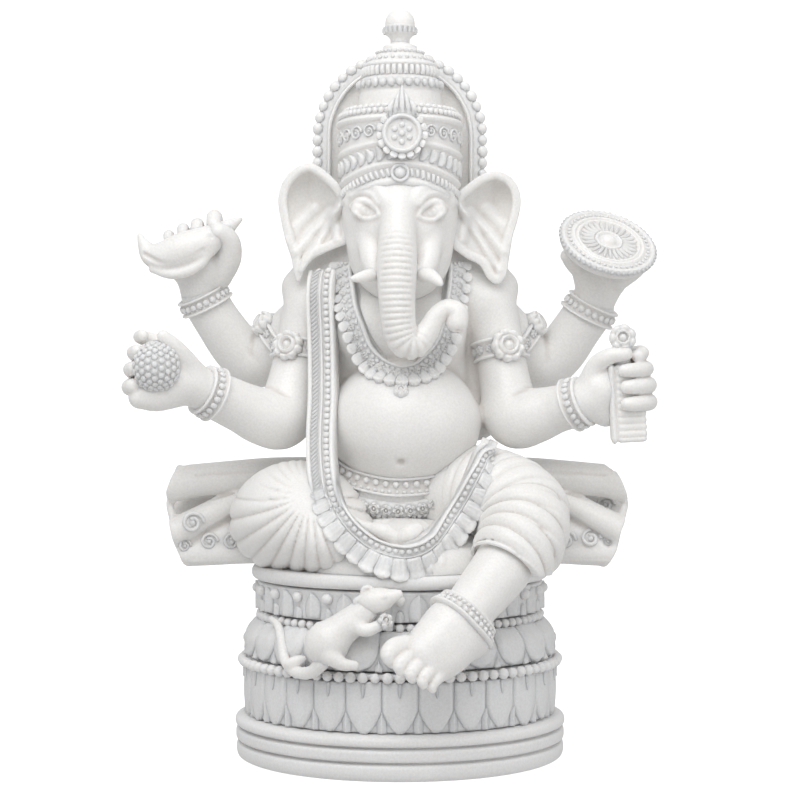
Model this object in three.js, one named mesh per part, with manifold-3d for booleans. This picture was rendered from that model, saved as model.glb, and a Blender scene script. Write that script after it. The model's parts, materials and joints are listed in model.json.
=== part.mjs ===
// A seated four-armed Ganesha idol in white marble resin, on a round lotus pedestal.
// Millimetres, +Z up, the face looks along -Y, and the origin is the centre of the pedestal's underside.
// "right" and "left" are the idol's own sides, so the right hand is on -X.
import * as THREE from "three";
import { mergeVertices } from "three/addons/utils/BufferGeometryUtils.js";
import Module from "manifold-3d";

const wasm = await Module();
wasm.setup();

// Driving dimensions
const HEIGHT = 230; // underside of the plinth to the tip of the crown
const PLINTH_RADIUS = 51;
const SEAT_RADIUS = 46;
const SEAT_TOP = 59.4; // the level that the figure sits on
const GAP = 0.35; // clearance between neighbouring pieces
const ROUND = 36; // facets round the pedestal

// Finishes
const finish = (color, roughness) => new THREE.MeshStandardMaterial({ color, roughness, metalness: 0 });
const SKIN = finish(0xeceae6, 0.4);
const CARVED = finish(0xf1efec, 0.5);
const CLOTH = finish(0xe9e7e3, 0.46);
const STONE = finish(0xe0dfde, 0.52);

// ---------------------------------------------------------------- solids

// A geometry as a solid: only its position is kept, with shared vertices merged.
function solidOf(geometry) {
  const bare = new THREE.BufferGeometry();
  bare.setAttribute("position", geometry.getAttribute("position"));
  bare.setIndex(geometry.index);
  const merged = mergeVertices(bare, 1e-4);
  return new wasm.Manifold(
    new wasm.Mesh({
      numProp: 3,
      vertProperties: merged.attributes.position.array,
      triVerts: new Uint32Array(merged.index.array),
    }),
  );
}

// A solid as a geometry that a mesh can show.
function geometryOf(solid) {
  const mesh = solid.getMesh();
  const geometry = new THREE.BufferGeometry();
  geometry.setAttribute("position", new THREE.BufferAttribute(mesh.vertProperties, 3));
  geometry.setIndex(new THREE.BufferAttribute(mesh.triVerts, 1));
  geometry.computeVertexNormals();
  return geometry;
}

// The same solid, with every vertex pushed out by the clearance.
function swollen(solid) {
  const geometry = geometryOf(solid);
  const place = geometry.attributes.position;
  const out = geometry.attributes.normal;
  for (let i = 0; i < place.count; i++) {
    place.setXYZ(
      i,
      place.getX(i) + out.getX(i) * GAP,
      place.getY(i) + out.getY(i) * GAP,
      place.getZ(i) + out.getZ(i) * GAP,
    );
  }
  return solidOf(geometry);
}

const joined = (...solids) => solids.reduce((sum, solid) => sum.add(solid));

// An ellipsoid. tilt is its rotation about X, Y and Z, in degrees.
function ellipsoid(centre, radii, tilt = [0, 0, 0], sides = 12) {
  const ball = new THREE.SphereGeometry(1, sides, Math.round(sides * 0.6));
  const [a, b, c] = tilt.map(THREE.MathUtils.degToRad);
  const turn = new THREE.Quaternion().setFromEuler(new THREE.Euler(a, b, c));
  const place = new THREE.Matrix4().compose(
    new THREE.Vector3(...centre),
    turn,
    new THREE.Vector3(...radii),
  );
  return solidOf(ball.applyMatrix4(place));
}

// A limb: a ball drawn out along a smooth line through stations of [x, y, z, radius], with round ends.
// flat squeezes its section along the reference direction.
function limb(stations, { sides = 10, rings = 9, flat = 1, reference = [0, 1, 0] } = {}) {
  const line = new THREE.CatmullRomCurve3(stations.map(([x, y, z]) => new THREE.Vector3(x, y, z)));
  const girth = new THREE.SplineCurve(stations.map((s, i) => new THREE.Vector2(i, s[3])));
  const ball = new THREE.SphereGeometry(1, sides, rings);
  const place = ball.attributes.position;
  const towards = new THREE.Vector3(...reference);
  const capRings = Math.max(2, Math.round(rings / 5));
  for (let ring = 0; ring <= rings; ring++) {
    const fromEnd = Math.min(ring, rings - ring);
    const capAngle = (Math.min(1, fromEnd / capRings) * Math.PI) / 2;
    const t = THREE.MathUtils.clamp((ring - capRings) / (rings - 2 * capRings), 0, 1);
    const radius = girth.getPoint(t).y;
    const along = line.getTangent(t);
    const side = new THREE.Vector3().crossVectors(along, towards).normalize();
    const depth = new THREE.Vector3().crossVectors(side, along).normalize();
    const way = ring < rings / 2 ? -1 : 1;
    const centre = line.getPoint(t).addScaledVector(along, way * radius * Math.cos(capAngle));
    for (let k = 0; k <= sides; k++) {
      const turn = ((k % sides) / sides) * 2 * Math.PI;
      const reach = fromEnd === 0 ? 0 : radius * Math.sin(capAngle);
      const point = centre
        .clone()
        .addScaledVector(side, reach * Math.cos(turn))
        .addScaledVector(depth, reach * Math.sin(turn) * flat);
      place.setXYZ(ring * (sides + 1) + k, point.x, point.y, point.z);
    }
  }
  const made = solidOf(ball);
  return made.volume() > 0 ? made : solidOf(flipped(ball));
}

// The same geometry with its faces turned round.
function flipped(geometry) {
  const index = geometry.index.array;
  for (let i = 0; i < index.length; i += 3) {
    [index[i + 1], index[i + 2]] = [index[i + 2], index[i + 1]];
  }
  return geometry;
}

// A turned solid about the vertical through centre: profile is [radius, z] from the bottom to the top.
function turned(profile, { centre = [0, 0], tilt = 0, pivot = 0, sides = ROUND, oval = 1 } = {}) {
  const closed = [[0, profile[0][1]], ...profile, [0, profile[profile.length - 1][1]]];
  const geometry = new THREE.LatheGeometry(closed.map(([r, z]) => new THREE.Vector2(r, z)), sides);
  geometry.rotateX(Math.PI / 2);
  geometry.scale(1, oval, 1);
  geometry.translate(0, 0, -pivot);
  geometry.rotateX(THREE.MathUtils.degToRad(tilt));
  geometry.translate(centre[0], centre[1], pivot);
  const made = solidOf(geometry);
  return made.volume() > 0 ? made : solidOf(flipped(geometry));
}

// A round band standing on a limb: a short drum whose axis runs along the given direction.
function band(centre, direction, radius, width, sides = 12) {
  const drum = new THREE.CylinderGeometry(radius, radius, width, sides);
  const turn = new THREE.Quaternion().setFromUnitVectors(
    new THREE.Vector3(0, 1, 0),
    new THREE.Vector3(...direction).normalize(),
  );
  drum.applyQuaternion(turn);
  drum.translate(...centre);
  return solidOf(drum);
}

// A plate cut to a smooth outline of [x, z] points, from front to back along Y.
function plate(outline, front, back, steps = 40) {
  const shape = new THREE.Shape();
  const loop = new THREE.CatmullRomCurve3(
    outline.map(([x, z]) => new THREE.Vector3(x, z, 0)),
    true,
  );
  shape.setFromPoints(loop.getPoints(steps).slice(0, steps));
  const geometry = new THREE.ExtrudeGeometry(shape, { depth: back - front, bevelEnabled: false });
  geometry.rotateX(Math.PI / 2);
  geometry.translate(0, back, 0);
  return solidOf(geometry);
}

// ---------------------------------------------------------------- the group

const idol = new THREE.Group();
const placed = [];

// Adds a piece. It gives way to every piece added before it, with the clearance between them.
function add(name, solid, material) {
  const box = solid.boundingBox();
  let left = solid;
  for (const earlier of placed) {
    const other = earlier.swollen.boundingBox();
    const meets = [0, 1, 2].every((i) => box.min[i] < other.max[i] && box.max[i] > other.min[i]);
    if (meets) {
      left = left.subtract(earlier.swollen);
    }
  }
  const kept = left.decompose().sort((a, b) => b.volume() - a.volume())[0];
  placed.push({ body: new THREE.Mesh(geometryOf(solid)), swollen: swollen(solid) });
  const mesh = new THREE.Mesh(geometryOf(kept), material);
  mesh.name = name;
  idol.add(mesh);
}

// How far forward the pieces already placed reach at x, z: the y of their front surface.
function frontAt(x, z, fallback) {
  const ray = new THREE.Raycaster(new THREE.Vector3(x, -HEIGHT, z), new THREE.Vector3(0, 1, 0));
  const hit = ray.intersectObjects(placed.map(({ body }) => body))[0];
  return hit ? hit.point.y : fallback;
}

// A soft strand laid over the front of what is already placed, through [x, z] points.
function draped(points, radius, sunk, options) {
  const fallback = frontAt(points[0][0], points[0][1], 0);
  const stations = points.map(([x, z]) => [x, frontAt(x, z, fallback) + sunk, z, radius]);
  return limb(stations, options);
}

const mirrored = (stations) => stations.map(([x, ...rest]) => [-x, ...rest]);

// ---------------------------------------------------------------- pedestal

// The stack of turned rings under the figure, from the floor to the seat.
function pedestal() {
  const lowerTier = 14;
  const middleBeads = 29;
  const upperTier = 31.8;
  const upperBeads = 43;
  const collar = 45.6;
  const slab = 55;
  const foot = PLINTH_RADIUS - 1.6;
  add(
    "plinth",
    turned([
      [foot, 0],
      [PLINTH_RADIUS - 0.7, 1.2],
      [PLINTH_RADIUS - 0.5, 9.4],
      [PLINTH_RADIUS, 10.4],
      [PLINTH_RADIUS, 12.8],
      [PLINTH_RADIUS - 1, lowerTier - GAP],
    ]),
    STONE,
  );
  add("lower_lotus_tier", turned([[48.4, lowerTier], [49.8, 21], [48.8, middleBeads - GAP]]), STONE);
  add("middle_bead_ring", turned([[48, middleBeads], [49.6, 30.2], [48, upperTier - GAP]]), STONE);
  add("upper_lotus_tier", turned([[47.6, upperTier], [46.4, 36], [42.6, upperBeads - GAP]]), STONE);
  add("upper_bead_ring", turned([[42.6, upperBeads], [43.6, 44.2], [42.4, collar - GAP]]), STONE);
  add("leaf_collar", turned([[42, collar], [42.6, 50], [44, slab - GAP]]), STONE);
  add(
    "seat_slab",
    turned([[45, slab], [SEAT_RADIUS, 56.2], [SEAT_RADIUS, 58.4], [45, SEAT_TOP]]),
    STONE,
  );
}

// ---------------------------------------------------------------- body

function torso() {
  const belly = ellipsoid([1.2, -8, 103], [23.4, 22, 20.2], [0, 0, 0], 16);
  const chest = ellipsoid([0, -1, 129], [20.2, 16.8, 22]);
  const shoulders = limb(
    [
      [-26, 3, 139.5, 8.6],
      [0, 2, 147, 12],
      [26, 3, 139.5, 8.6],
    ],
    { reference: [0, 0, 1] },
  );
  const hips = ellipsoid([1, 0, 80], [26, 20, 20.4]);
  add("torso", joined(belly, chest, shoulders, hips), SKIN);
}

function head() {
  const skull = ellipsoid([0, -7, 170], [17.2, 16.6, 15.6], [0, 0, 0], 14);
  const cheeks = ellipsoid([0, -10.8, 162], [16.4, 16, 18]);
  const jaw = ellipsoid([0, -12.5, 152], [14.2, 12.5, 12.5]);
  add("head", joined(skull, cheeks, jaw), SKIN);
  add(
    "trunk",
    limb(
      [
        [-0.5, -23.6, 168.6, 4.6],
        [-0.8, -28.2, 158, 5.7],
        [-0.9, -30.6, 149, 6],
        [-0.9, -31.4, 140, 5.5],
        [-0.3, -31.2, 132.6, 5.2],
        [2.2, -30.4, 127.4, 4.8],
        [6.2, -29.8, 128.6, 3.9],
        [10.2, -29.4, 134.4, 3.2],
        [14, -29.4, 137.4, 3.1],
        [17, -30, 134.4, 3.4],
      ],
      { rings: 16, sides: 8 },
    ),
    SKIN,
  );
  const tusk = [[7, -26, 148.4, 2.4], [9.8, -30.4, 147, 2.1], [12.6, -33.4, 145.4, 1]];
  add("right_tusk", limb(mirrored(tusk), { rings: 6, sides: 8 }), SKIN);
  add("left_tusk", limb(tusk, { rings: 6, sides: 8 }), SKIN);
}

// A broad ear hangs from the temple to a point beside the shoulder.
function ears() {
  const right = [
    [-15.5, 171],
    [-20.8, 178],
    [-28, 182.5],
    [-35.8, 177],
    [-37.2, 171.5],
    [-34.9, 159],
    [-32.4, 149.4],
    [-31.2, 146.6],
    [-27.4, 153],
    [-19.9, 156.8],
    [-15.5, 159],
    [-13.6, 165],
  ];
  const left = [
    [15.5, 170],
    [20.2, 175.4],
    [29.1, 180.1],
    [36.2, 175],
    [36.9, 170.6],
    [34.4, 160.4],
    [32.4, 148.8],
    [30.2, 146],
    [24.6, 151.6],
    [16.4, 156.8],
    [13.6, 161],
    [13.6, 166],
  ];
  add("right_ear", plate(right, -7, -1), SKIN);
  add("left_ear", plate(left, -7, -1), SKIN);
}

// ---------------------------------------------------------------- crown

function crown() {
  const centre = [0, -7];
  const drumBottom = 174.5;
  const drumTop = 196.5;
  const drum = [[18.2, drumBottom], [19, 178], [19.4, 188], [18.9, 193], [18.6, drumTop]];
  const jewel = band([0, -25.4, 178.6], [0, -1, 0], 2.8, 3, 10);
  add("crown_band", joined(turned(drum, { centre, tilt: -6, pivot: 186, sides: 24 }), jewel), CARVED);
  const cap = [
    [17.2, drumTop],
    [17.2, 200.6],
    [14, 202.4],
    [13.2, 205.6],
    [13.5, 209.6],
    [11.8, 210.4],
    [11.8, 213.8],
    [9.6, 215],
    [7, 217],
    [6.6, 219],
  ];
  add("crown_cap", turned(cap, { centre: [0, -6.4], sides: 20 }), CARVED);
  const finial = [[4.2, 219.4], [5.3, 222.6], [4.9, 226.4], [3, HEIGHT - 0.7], [1, HEIGHT]];
  add("crown_finial", turned(finial, { centre: [0, -6.4], sides: 12 }), CARVED);
  add("crown_medallion", band([0.6, -26.4, 190], [0, -1, 0.06], 7, 3), CARVED);
}

// The halo behind the crown: a flat plate with a beaded rim, cut off level above the ears.
function halo() {
  const centre = 190.5;
  const plateRadius = 23.6;
  const rimRadius = 27.2;
  const arch = (radius) => {
    const shape = new THREE.Shape();
    const drop = 9;
    const start = -Math.asin(drop / radius);
    shape.absarc(0, centre, radius, start, Math.PI - start, false);
    return shape;
  };
  const slab = (shape, front, back) => {
    const geometry = new THREE.ExtrudeGeometry(shape, {
      depth: back - front,
      bevelEnabled: false,
      curveSegments: 11,
    });
    geometry.rotateX(Math.PI / 2);
    geometry.translate(0, back, 0);
    return solidOf(geometry);
  };
  add("halo_plate", slab(arch(plateRadius), 2.4, 6), CARVED);
  add("halo_rim", slab(arch(rimRadius), 0.8, 5.4), CARVED);
}

// ---------------------------------------------------------------- arms

const FRONT_SHOULDER = [27.5, 3, 139.5];
const FRONT_ELBOW = [35.6, -7, 105.4];
const REAR_SHOULDER = [26, 8, 138.6];
const REAR_ELBOW = [45.8, 20.8, 121.6];

const station = (point, radius) => [...point, radius];

function upperArms() {
  const front = [
    station(FRONT_SHOULDER, 8.6),
    [31.2, 0.5, 125, 7.5],
    [33.4, -3.5, 112.5, 8.1],
    station(FRONT_ELBOW, 9),
  ];
  const rear = [station(REAR_SHOULDER, 8.4), [36.6, 15.8, 129.4, 7.9], station(REAR_ELBOW, 8.3)];
  add("right_front_upper_arm", limb(mirrored(front)), SKIN);
  add("left_front_upper_arm", limb(front), SKIN);
  add("right_rear_upper_arm", limb(mirrored(rear)), SKIN);
  add("left_rear_upper_arm", limb(rear), SKIN);
}

function forearms() {
  add(
    "right_front_forearm",
    limb([[-36.6, -7.6, 105, 9], [-47.5, -15, 107.7, 7.7], [-57.4, -22, 112.6, 6.4]]),
    SKIN,
  );
  add(
    "left_front_forearm",
    limb([[36, -7.6, 105.2, 9], [47, -13.2, 107.2, 7.3], [54, -17.8, 109.4, 6.4]]),
    SKIN,
  );
  add(
    "right_rear_forearm",
    limb([[-46.5, 20.8, 122, 8.3], [-57.6, 18.6, 134.2, 7.4], [-62.6, 17.2, 142.6, 6.7]]),
    SKIN,
  );
  add(
    "left_rear_forearm",
    limb([[46, 20.8, 121.6, 8.3], [56, 18.6, 132, 7.7], [60.8, 17.3, 139.4, 7]]),
    SKIN,
  );
}

// A hand: a palm and five short digits, each a line from the palm to the tip.
function hand(palm, digits) {
  const bones = digits.map((digit) => limb(digit, { sides: 5, rings: 5 }));
  return joined(palm, ...bones);
}

function hands() {
  add(
    "right_front_hand",
    hand(ellipsoid([-68.6, -26.8, 116.4], [8.8, 6, 8], [0, 20, 0], 10), [
      [[-72.6, -25, 127, 2.4], [-76.4, -27, 128.6, 2.2], [-76, -32, 129.6, 1.8]],
      [[-71.2, -25, 122.2, 2.6], [-77.8, -27, 123.8, 2.4], [-77.6, -32, 124.8, 2]],
      [[-72.2, -25, 117.2, 2.6], [-78.8, -27, 118.8, 2.5], [-78.6, -32, 119.8, 2.1]],
      [[-72.6, -25, 112, 2.7], [-79.2, -27, 113.6, 2.6], [-79, -32, 114.6, 2.2]],
      [[-61.6, -25.8, 117, 4], [-65.4, -31, 124, 3.2], [-69.4, -34, 129, 2]],
    ]),
    SKIN,
  );
  add(
    "left_front_hand",
    hand(ellipsoid([60.2, -18.8, 114], [6.8, 5.8, 9.6], [0, 12, 0], 9), [
      [[62, -17, 122.2, 2.8], [70.6, -17.6, 124.2, 2.4], [71.4, -23.4, 123.6, 2.1]],
      [[63, -16.4, 120.2, 2.6], [74, -18.6, 119.8, 2.5], [68, -26.6, 119.2, 2]],
      [[63, -16.4, 115.2, 2.7], [74.8, -18.6, 114.9, 2.6], [68.8, -26.6, 114.3, 2.1]],
      [[63, -16.4, 110.2, 2.7], [75, -18.6, 109.8, 2.6], [69, -26.6, 109.2, 2.1]],
      [[57.6, -19.8, 115, 4], [59.8, -23, 121.6, 2.9], [66.6, -25.6, 124, 2.2]],
    ]),
    SKIN,
  );
  add(
    "right_rear_hand",
    hand(ellipsoid([-63.8, 14.8, 152.4], [9.8, 5, 8.6], [0, -8, 0], 9), [
      [[-72.4, 16.4, 155, 2.2], [-73, 16.4, 160, 1.9], [-72.8, 9.4, 161.2, 1.6]],
      [[-68, 16.4, 156, 2.4], [-68.5, 16.4, 162, 2.1], [-68.3, 9.4, 163.2, 1.8]],
      [[-63.6, 16.4, 157, 2.6], [-64, 16.4, 163.4, 2.3], [-63.8, 9.4, 164.6, 2]],
      [[-58.4, 16.4, 158, 2.8], [-58.6, 16.4, 165.4, 2.6], [-58.4, 9.4, 166.6, 2.3]],
      [[-57.4, 14.6, 149, 4.2], [-53.6, 10.6, 157, 3.6], [-57.4, 6.8, 162, 2.4]],
    ]),
    SKIN,
  );
  add(
    "left_rear_hand",
    hand(ellipsoid([64.4, 13.2, 149], [10, 6.2, 7.6], [-24, -10, 0], 10), [
      [[59, 13, 149, 3], [54.6, 9.4, 152.6, 2.6], [52.2, 7, 155, 2.1]],
      [[64, 16, 151, 3], [61.4, 17.4, 157, 2.6], [60.6, 16.4, 162, 2.3]],
      [[68, 16, 151, 3], [68.4, 17.6, 157.6, 2.6], [68.4, 16.6, 163, 2.3]],
      [[71.4, 13.4, 150.4, 3], [75.4, 13.6, 155.4, 2.6], [76.6, 13, 160.4, 2.2]],
      [[69, 9.4, 147.6, 3], [73.6, 6.6, 150.6, 2.6], [76.6, 5.4, 153.6, 2.1]],
    ]),
    SKIN,
  );
}

// The four things that the hands hold.
function emblems() {
  add("sweet_bowl", ellipsoid([-71.8, -33, 120.4], [7.4, 7, 7.8]), CARVED);
  const discNormal = [0.22, -0.63, 0.745];
  add("lotus_disc", band([64.6, 5, 158.2], discNormal, 16.4, 5.4, 24), CARVED);
  add(
    "conch",
    limb(
      [
        [-81, 8.4, 160.6, 1.4],
        [-77.4, 8.2, 155, 3.8],
        [-68.6, 7.4, 155.4, 6],
        [-60, 8.2, 159.4, 4.6],
        [-51, 10.4, 166, 1],
      ],
      { rings: 13, sides: 10 },
    ),
    CARVED,
  );
  const grip = new THREE.BoxGeometry(10.2, 5.6, 22.8);
  grip.rotateY(THREE.MathUtils.degToRad(-3));
  grip.translate(68, -22.2, 109.4);
  const rose = band([66.6, -24, 129.1], [0, -1, 0], 4.4, 5, 12);
  const neck = band([66.7, -22.2, 122.8], [0, 0, 1], 2.2, 8, 8);
  add("goad", joined(solidOf(grip), rose, neck), CARVED);
}

// Bracelets at the wrists and armlets above the elbows.
function bangles() {
  add("right_front_bracelet", band([-57.4, -22, 112.6], [-0.8, -0.5, 0.38], 8.2, 5.4), CARVED);
  add("left_front_bracelet", band([53.6, -17.6, 109.2], [0.8, -0.42, 0.36], 8.2, 5.6), CARVED);
  add("right_rear_bracelet", band([-62.2, 17.3, 141.4], [-0.42, -0.2, 0.88], 8.3, 5.2), CARVED);
  add("left_rear_bracelet", band([60.4, 17.5, 138.4], [0.44, -0.2, 0.87], 8.8, 5.6), CARVED);
  add("right_front_armlet", band([-31.2, 0.4, 125], [0.1, 0.2, 0.97], 9, 6.4), CARVED);
  add("left_front_armlet", band([31.2, 0.4, 125], [-0.1, 0.2, 0.97], 9, 6.4), CARVED);
  add("right_rear_armlet", band([-36.6, 15.6, 129], [0.66, -0.36, 0.66], 9.3, 5.4), CARVED);
  add("left_rear_armlet", band([36.6, 15.6, 129], [-0.66, -0.36, 0.66], 9.3, 5.4), CARVED);
}

// ---------------------------------------------------------------- legs

// The right leg lies folded on the seat, inside its pleated cloth.
function foldedLeg() {
  const knee = ellipsoid([-31, -14, 75.4], [19.6, 23.5, 16.2], [0, 0, 0], 14);
  const shin = ellipsoid([-18, -22, 70], [15, 20.5, 12.4], [0, 0, 0], 12);
  add("right_leg", joined(knee, shin), CLOTH);
}

// The left leg comes over the front of the seat, with the foot low against the pedestal.
function hangingLeg() {
  const thigh = limb(
    [
      [13, -4, 80, 15.4],
      [26, -14, 80.6, 15.4],
      [35.4, -25, 77.6, 13.8],
    ],
    { sides: 12 },
  );
  const cuff = limb(
    [
      [35.6, -26, 77.4, 13.8],
      [36, -33.5, 69.6, 12.8],
      [31.8, -39, 62.6, 11.4],
    ],
    { sides: 12 },
  );
  add("left_trouser_leg", joined(thigh, cuff), CLOTH);
  add("left_shin", limb([[30.6, -39.4, 62.6, 8.9], [24, -46.4, 55, 8], [17, -52.8, 48, 7.4]]), SKIN);
  const toe = (x, y, z, r) => ellipsoid([x, y, z], [r, r * 1.2, r], [0, 0, 0], 8);
  const instep = limb([[15.6, -54, 45.4, 8], [10.6, -58, 40.4, 8.2], [7, -61.4, 37, 6.4]]);
  const toes = [
    toe(-2.2, -65.4, 40.2, 2.9),
    toe(0.4, -66.8, 36.8, 2.2),
    toe(3.4, -67.2, 34.6, 2.1),
    toe(6.8, -66.8, 32.6, 2),
    toe(9.6, -65.4, 31, 1.8),
  ];
  add("left_foot", joined(instep, ...toes), SKIN);
  add("anklet", band([17.4, -52.6, 48.6], [-0.62, -0.4, -0.68], 9.4, 5.2, 14), CARVED);
}

// ---------------------------------------------------------------- cloth and ornaments

function lapCloth() {
  const lap = ellipsoid([0, -18, 62], [27, 25.6, 13.4]);
  add("lap_cloth", lap, CLOTH);
}

// A bolster lies behind the hips, and its cloth flares out at both ends.
function bolster() {
  const roll = limb([[-38, 14, 74, 11], [0, 17, 74, 12], [38, 14, 74, 11]], { reference: [0, 0, 1] });
  add("bolster", roll, CLOTH);
  const flare = [[44, 11, 75, 11.6], [56, 9, 75.4, 13.6], [65.6, 8, 74.6, 15.6]];
  const trim = (x) => band([x, 8, 74], [1, 0, 0], 19, 39, 12);
  const blown = { sides: 12, flat: 0.62 };
  add("right_bolster_end", limb(mirrored(flare), blown).intersect(trim(-53)), CLOTH);
  add("left_bolster_end", limb(flare, blown).intersect(trim(53)), CLOTH);
}

function belts() {
  const hoop = (centre, radii, z, half) => {
    const profile = [[1, z - half], [1.05, z], [1, z + half]].map(([r, h]) => [r * radii[0], h]);
    return turned(profile, { centre, sides: 24, oval: radii[1] / radii[0] });
  };
  add("waist_belt", hoop([1.4, -5.4], [25, 23.4], 87, 3), CARVED);
  add("hip_frieze", hoop([1, -4.4], [26.4, 26], 79.6, 2.8), CARVED);
}

function necklace() {
  const loop = [
    [-17.6, 150],
    [-15.8, 140],
    [-13.4, 131.8],
    [-8, 122],
    [0.2, 117.6],
    [8.4, 121],
    [13.2, 127.8],
    [16.8, 141],
    [17.6, 150],
  ];
  add("necklace", draped(loop, 4, 1.2, { rings: 18, sides: 6, flat: 0.6 }), CARVED);
}

// The long garland hangs from the right shoulder, crosses the lap and climbs to the left hip.
function garland() {
  const strand = [
    [-24.3, 147],
    [-24.4, 138],
    [-23.8, 124],
    [-23.6, 110],
    [-23.7, 97],
    [-22.4, 85],
    [-18.6, 75.6],
    [-11.6, 68.4],
    [-4.4, 64.8],
    [4.4, 64.8],
    [11.6, 68.8],
    [18.4, 77],
    [24.4, 88],
  ];
  add("garland", draped(strand, 4.6, 0.6, { rings: 28, sides: 6, flat: 0.7 }), CARVED);
}

// ---------------------------------------------------------------- mouse

// The mouse climbs the front of the pedestal and looks up, with a sweet in its paws.
function mouse() {
  const rump = ellipsoid([-21.4, -48.6, 39.8], [6.2, 5.6, 6], [0, 0, 0], 10);
  const back = limb(
    [
      [-20, -48.8, 41.8, 5],
      [-14.6, -48.4, 46, 4.5],
      [-10.6, -48.6, 49.4, 3.7],
    ],
    { sides: 8 },
  );
  const paw = limb(
    [
      [-13, -51.4, 45.6, 2.3],
      [-9, -53.6, 44.8, 1.8],
      [-5.6, -53.8, 46, 1.5],
    ],
    { sides: 6, rings: 6 },
  );
  const sweet = ellipsoid([-4.2, -53, 46.8], [2.4, 2, 2.4], [0, 0, 0], 8);
  add("mouse_body", joined(rump, back, paw, sweet), SKIN);
  const skull = limb(
    [
      [-9.2, -49, 52.2, 3.9],
      [-5, -49.8, 53, 3.1],
      [-0.6, -51, 54.6, 1.4],
    ],
    { sides: 8, rings: 8 },
  );
  const ear = (x, z) => ellipsoid([x, -49.8, z], [2, 1.3, 2], [0, 20, 0], 8);
  add("mouse_head", joined(skull, ear(-11.6, 52.4), ear(-9.4, 55.2)), SKIN);
  add(
    "mouse_tail",
    limb(
      [
        [-23.4, -48, 34, 2.1],
        [-27.4, -44.6, 31.4, 1.9],
        [-31.4, -41, 31.8, 1.7],
        [-34.2, -37, 35.4, 1.5],
        [-35.4, -32.6, 40, 1.3],
        [-38, -26, 44.2, 1],
      ],
      { sides: 6, rings: 18 },
    ),
    SKIN,
  );
}

// ---------------------------------------------------------------- assembly

pedestal();
torso();
head();
emblems();
upperArms();
forearms();
hands();
foldedLeg();
hangingLeg();
crown();
ears();
halo();
bangles();
bolster();
lapCloth();
garland();
belts();
mouse();
necklace();

export default idol;
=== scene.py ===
import json
import math
from functools import cache

import bpy
import numpy as np
import openvdb
from mathutils import Euler, Matrix, Vector

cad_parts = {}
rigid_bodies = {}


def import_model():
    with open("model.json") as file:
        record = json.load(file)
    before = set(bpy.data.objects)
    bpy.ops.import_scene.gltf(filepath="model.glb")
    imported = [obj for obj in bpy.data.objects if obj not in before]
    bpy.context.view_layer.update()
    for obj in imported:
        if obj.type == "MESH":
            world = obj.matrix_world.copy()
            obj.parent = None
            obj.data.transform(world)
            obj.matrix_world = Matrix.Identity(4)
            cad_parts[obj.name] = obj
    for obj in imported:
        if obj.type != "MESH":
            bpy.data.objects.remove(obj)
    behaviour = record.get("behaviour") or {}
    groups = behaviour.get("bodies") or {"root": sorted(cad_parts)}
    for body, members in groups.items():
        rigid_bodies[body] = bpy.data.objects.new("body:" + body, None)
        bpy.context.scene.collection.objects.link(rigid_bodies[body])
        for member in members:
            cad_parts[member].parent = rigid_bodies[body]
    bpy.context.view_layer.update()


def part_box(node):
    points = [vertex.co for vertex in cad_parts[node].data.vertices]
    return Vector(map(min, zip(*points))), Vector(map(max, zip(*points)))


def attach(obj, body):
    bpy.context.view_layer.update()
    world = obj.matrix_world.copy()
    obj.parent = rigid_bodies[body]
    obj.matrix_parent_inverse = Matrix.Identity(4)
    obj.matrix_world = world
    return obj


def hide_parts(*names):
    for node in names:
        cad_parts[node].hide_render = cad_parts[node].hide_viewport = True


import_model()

bl_info = {
    "name": "Marble resin Ganesha idol",
    "version": (1, 0, 0),
    "blender": (4, 5, 0),
    "location": "3D View > Sidebar > Idol",
    "description": "Sculpts a seated four-armed Ganesha idol and its lotus pedestal over the packed frame",
    "category": "Object",
}

MM = 0.001
BODY = "root"
REACH = 8.0  # how far from a form its distance is worked out exactly, in mm
FAR = 1e9  # farther than anything, in mm
SUNK = 0.1  # how far cloth sinks into the seat, in mm
BLOCK = 4  # samples along each side of a block that is worked out finely or left coarse
BATCH = 400_000  # points worked out at a time
HOLLOW_GAIN = 2.2  # from how hollow the surface is in mm to the strength of its painted shade
ROW_SEED = 7  # of the small differences between the copies in a row


# ---- places taken from the frame


def low(node):
    """The lowest corner of a node, in millimetres."""
    return np.array(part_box(node)[0]) / MM


def high(node):
    """The highest corner of a node, in millimetres."""
    return np.array(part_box(node)[1]) / MM


PLINTH_RADIUS = high("plinth")[0]
PLINTH_TOP = high("plinth")[2]
SEAT_RADIUS = high("seat_slab")[0]
SEAT_BOTTOM = low("seat_slab")[2]
SEAT_TOP = high("seat_slab")[2]
FLOOR = low("plinth")[2]


# ---- solid forms
#
# A form is a function that gives the signed distance of points to a surface, below zero inside.
# Forms are joined softly, cut and embossed, and then turned into a closed mesh.


class Form:
    """A distance function with the box that holds its surface. All in millimetres."""

    def __init__(self, distance, lowest, highest):
        self.distance = distance
        self.lowest = np.asarray(lowest, float)
        self.highest = np.asarray(highest, float)

    def __call__(self, points):
        outside = np.maximum(np.maximum(self.lowest - points, points - self.highest), 0)
        gap = np.sqrt((outside**2).sum(1))
        near = gap < REACH
        value = gap + REACH
        if near.any():
            value[near] = self.distance(points[near])
        return value


def ellipsoid(centre, radii, tilt=(0, 0, 0)):
    """An ellipsoid, turned about X, Y and Z in degrees."""
    centre = np.array(centre, float)
    radii = np.array(radii, float)
    turn = np.array(Euler([math.radians(a) for a in tilt]).to_matrix())

    def distance(points):
        q = ((points - centre) @ turn) / radii
        k0 = np.sqrt((q**2).sum(1))
        k1 = np.sqrt(((q / radii) ** 2).sum(1))
        return k0 * (k0 - 1) / np.maximum(k1, 1e-6)

    half = np.sqrt(((turn * radii) ** 2).sum(1))
    return Form(distance, centre - half, centre + half)


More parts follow.
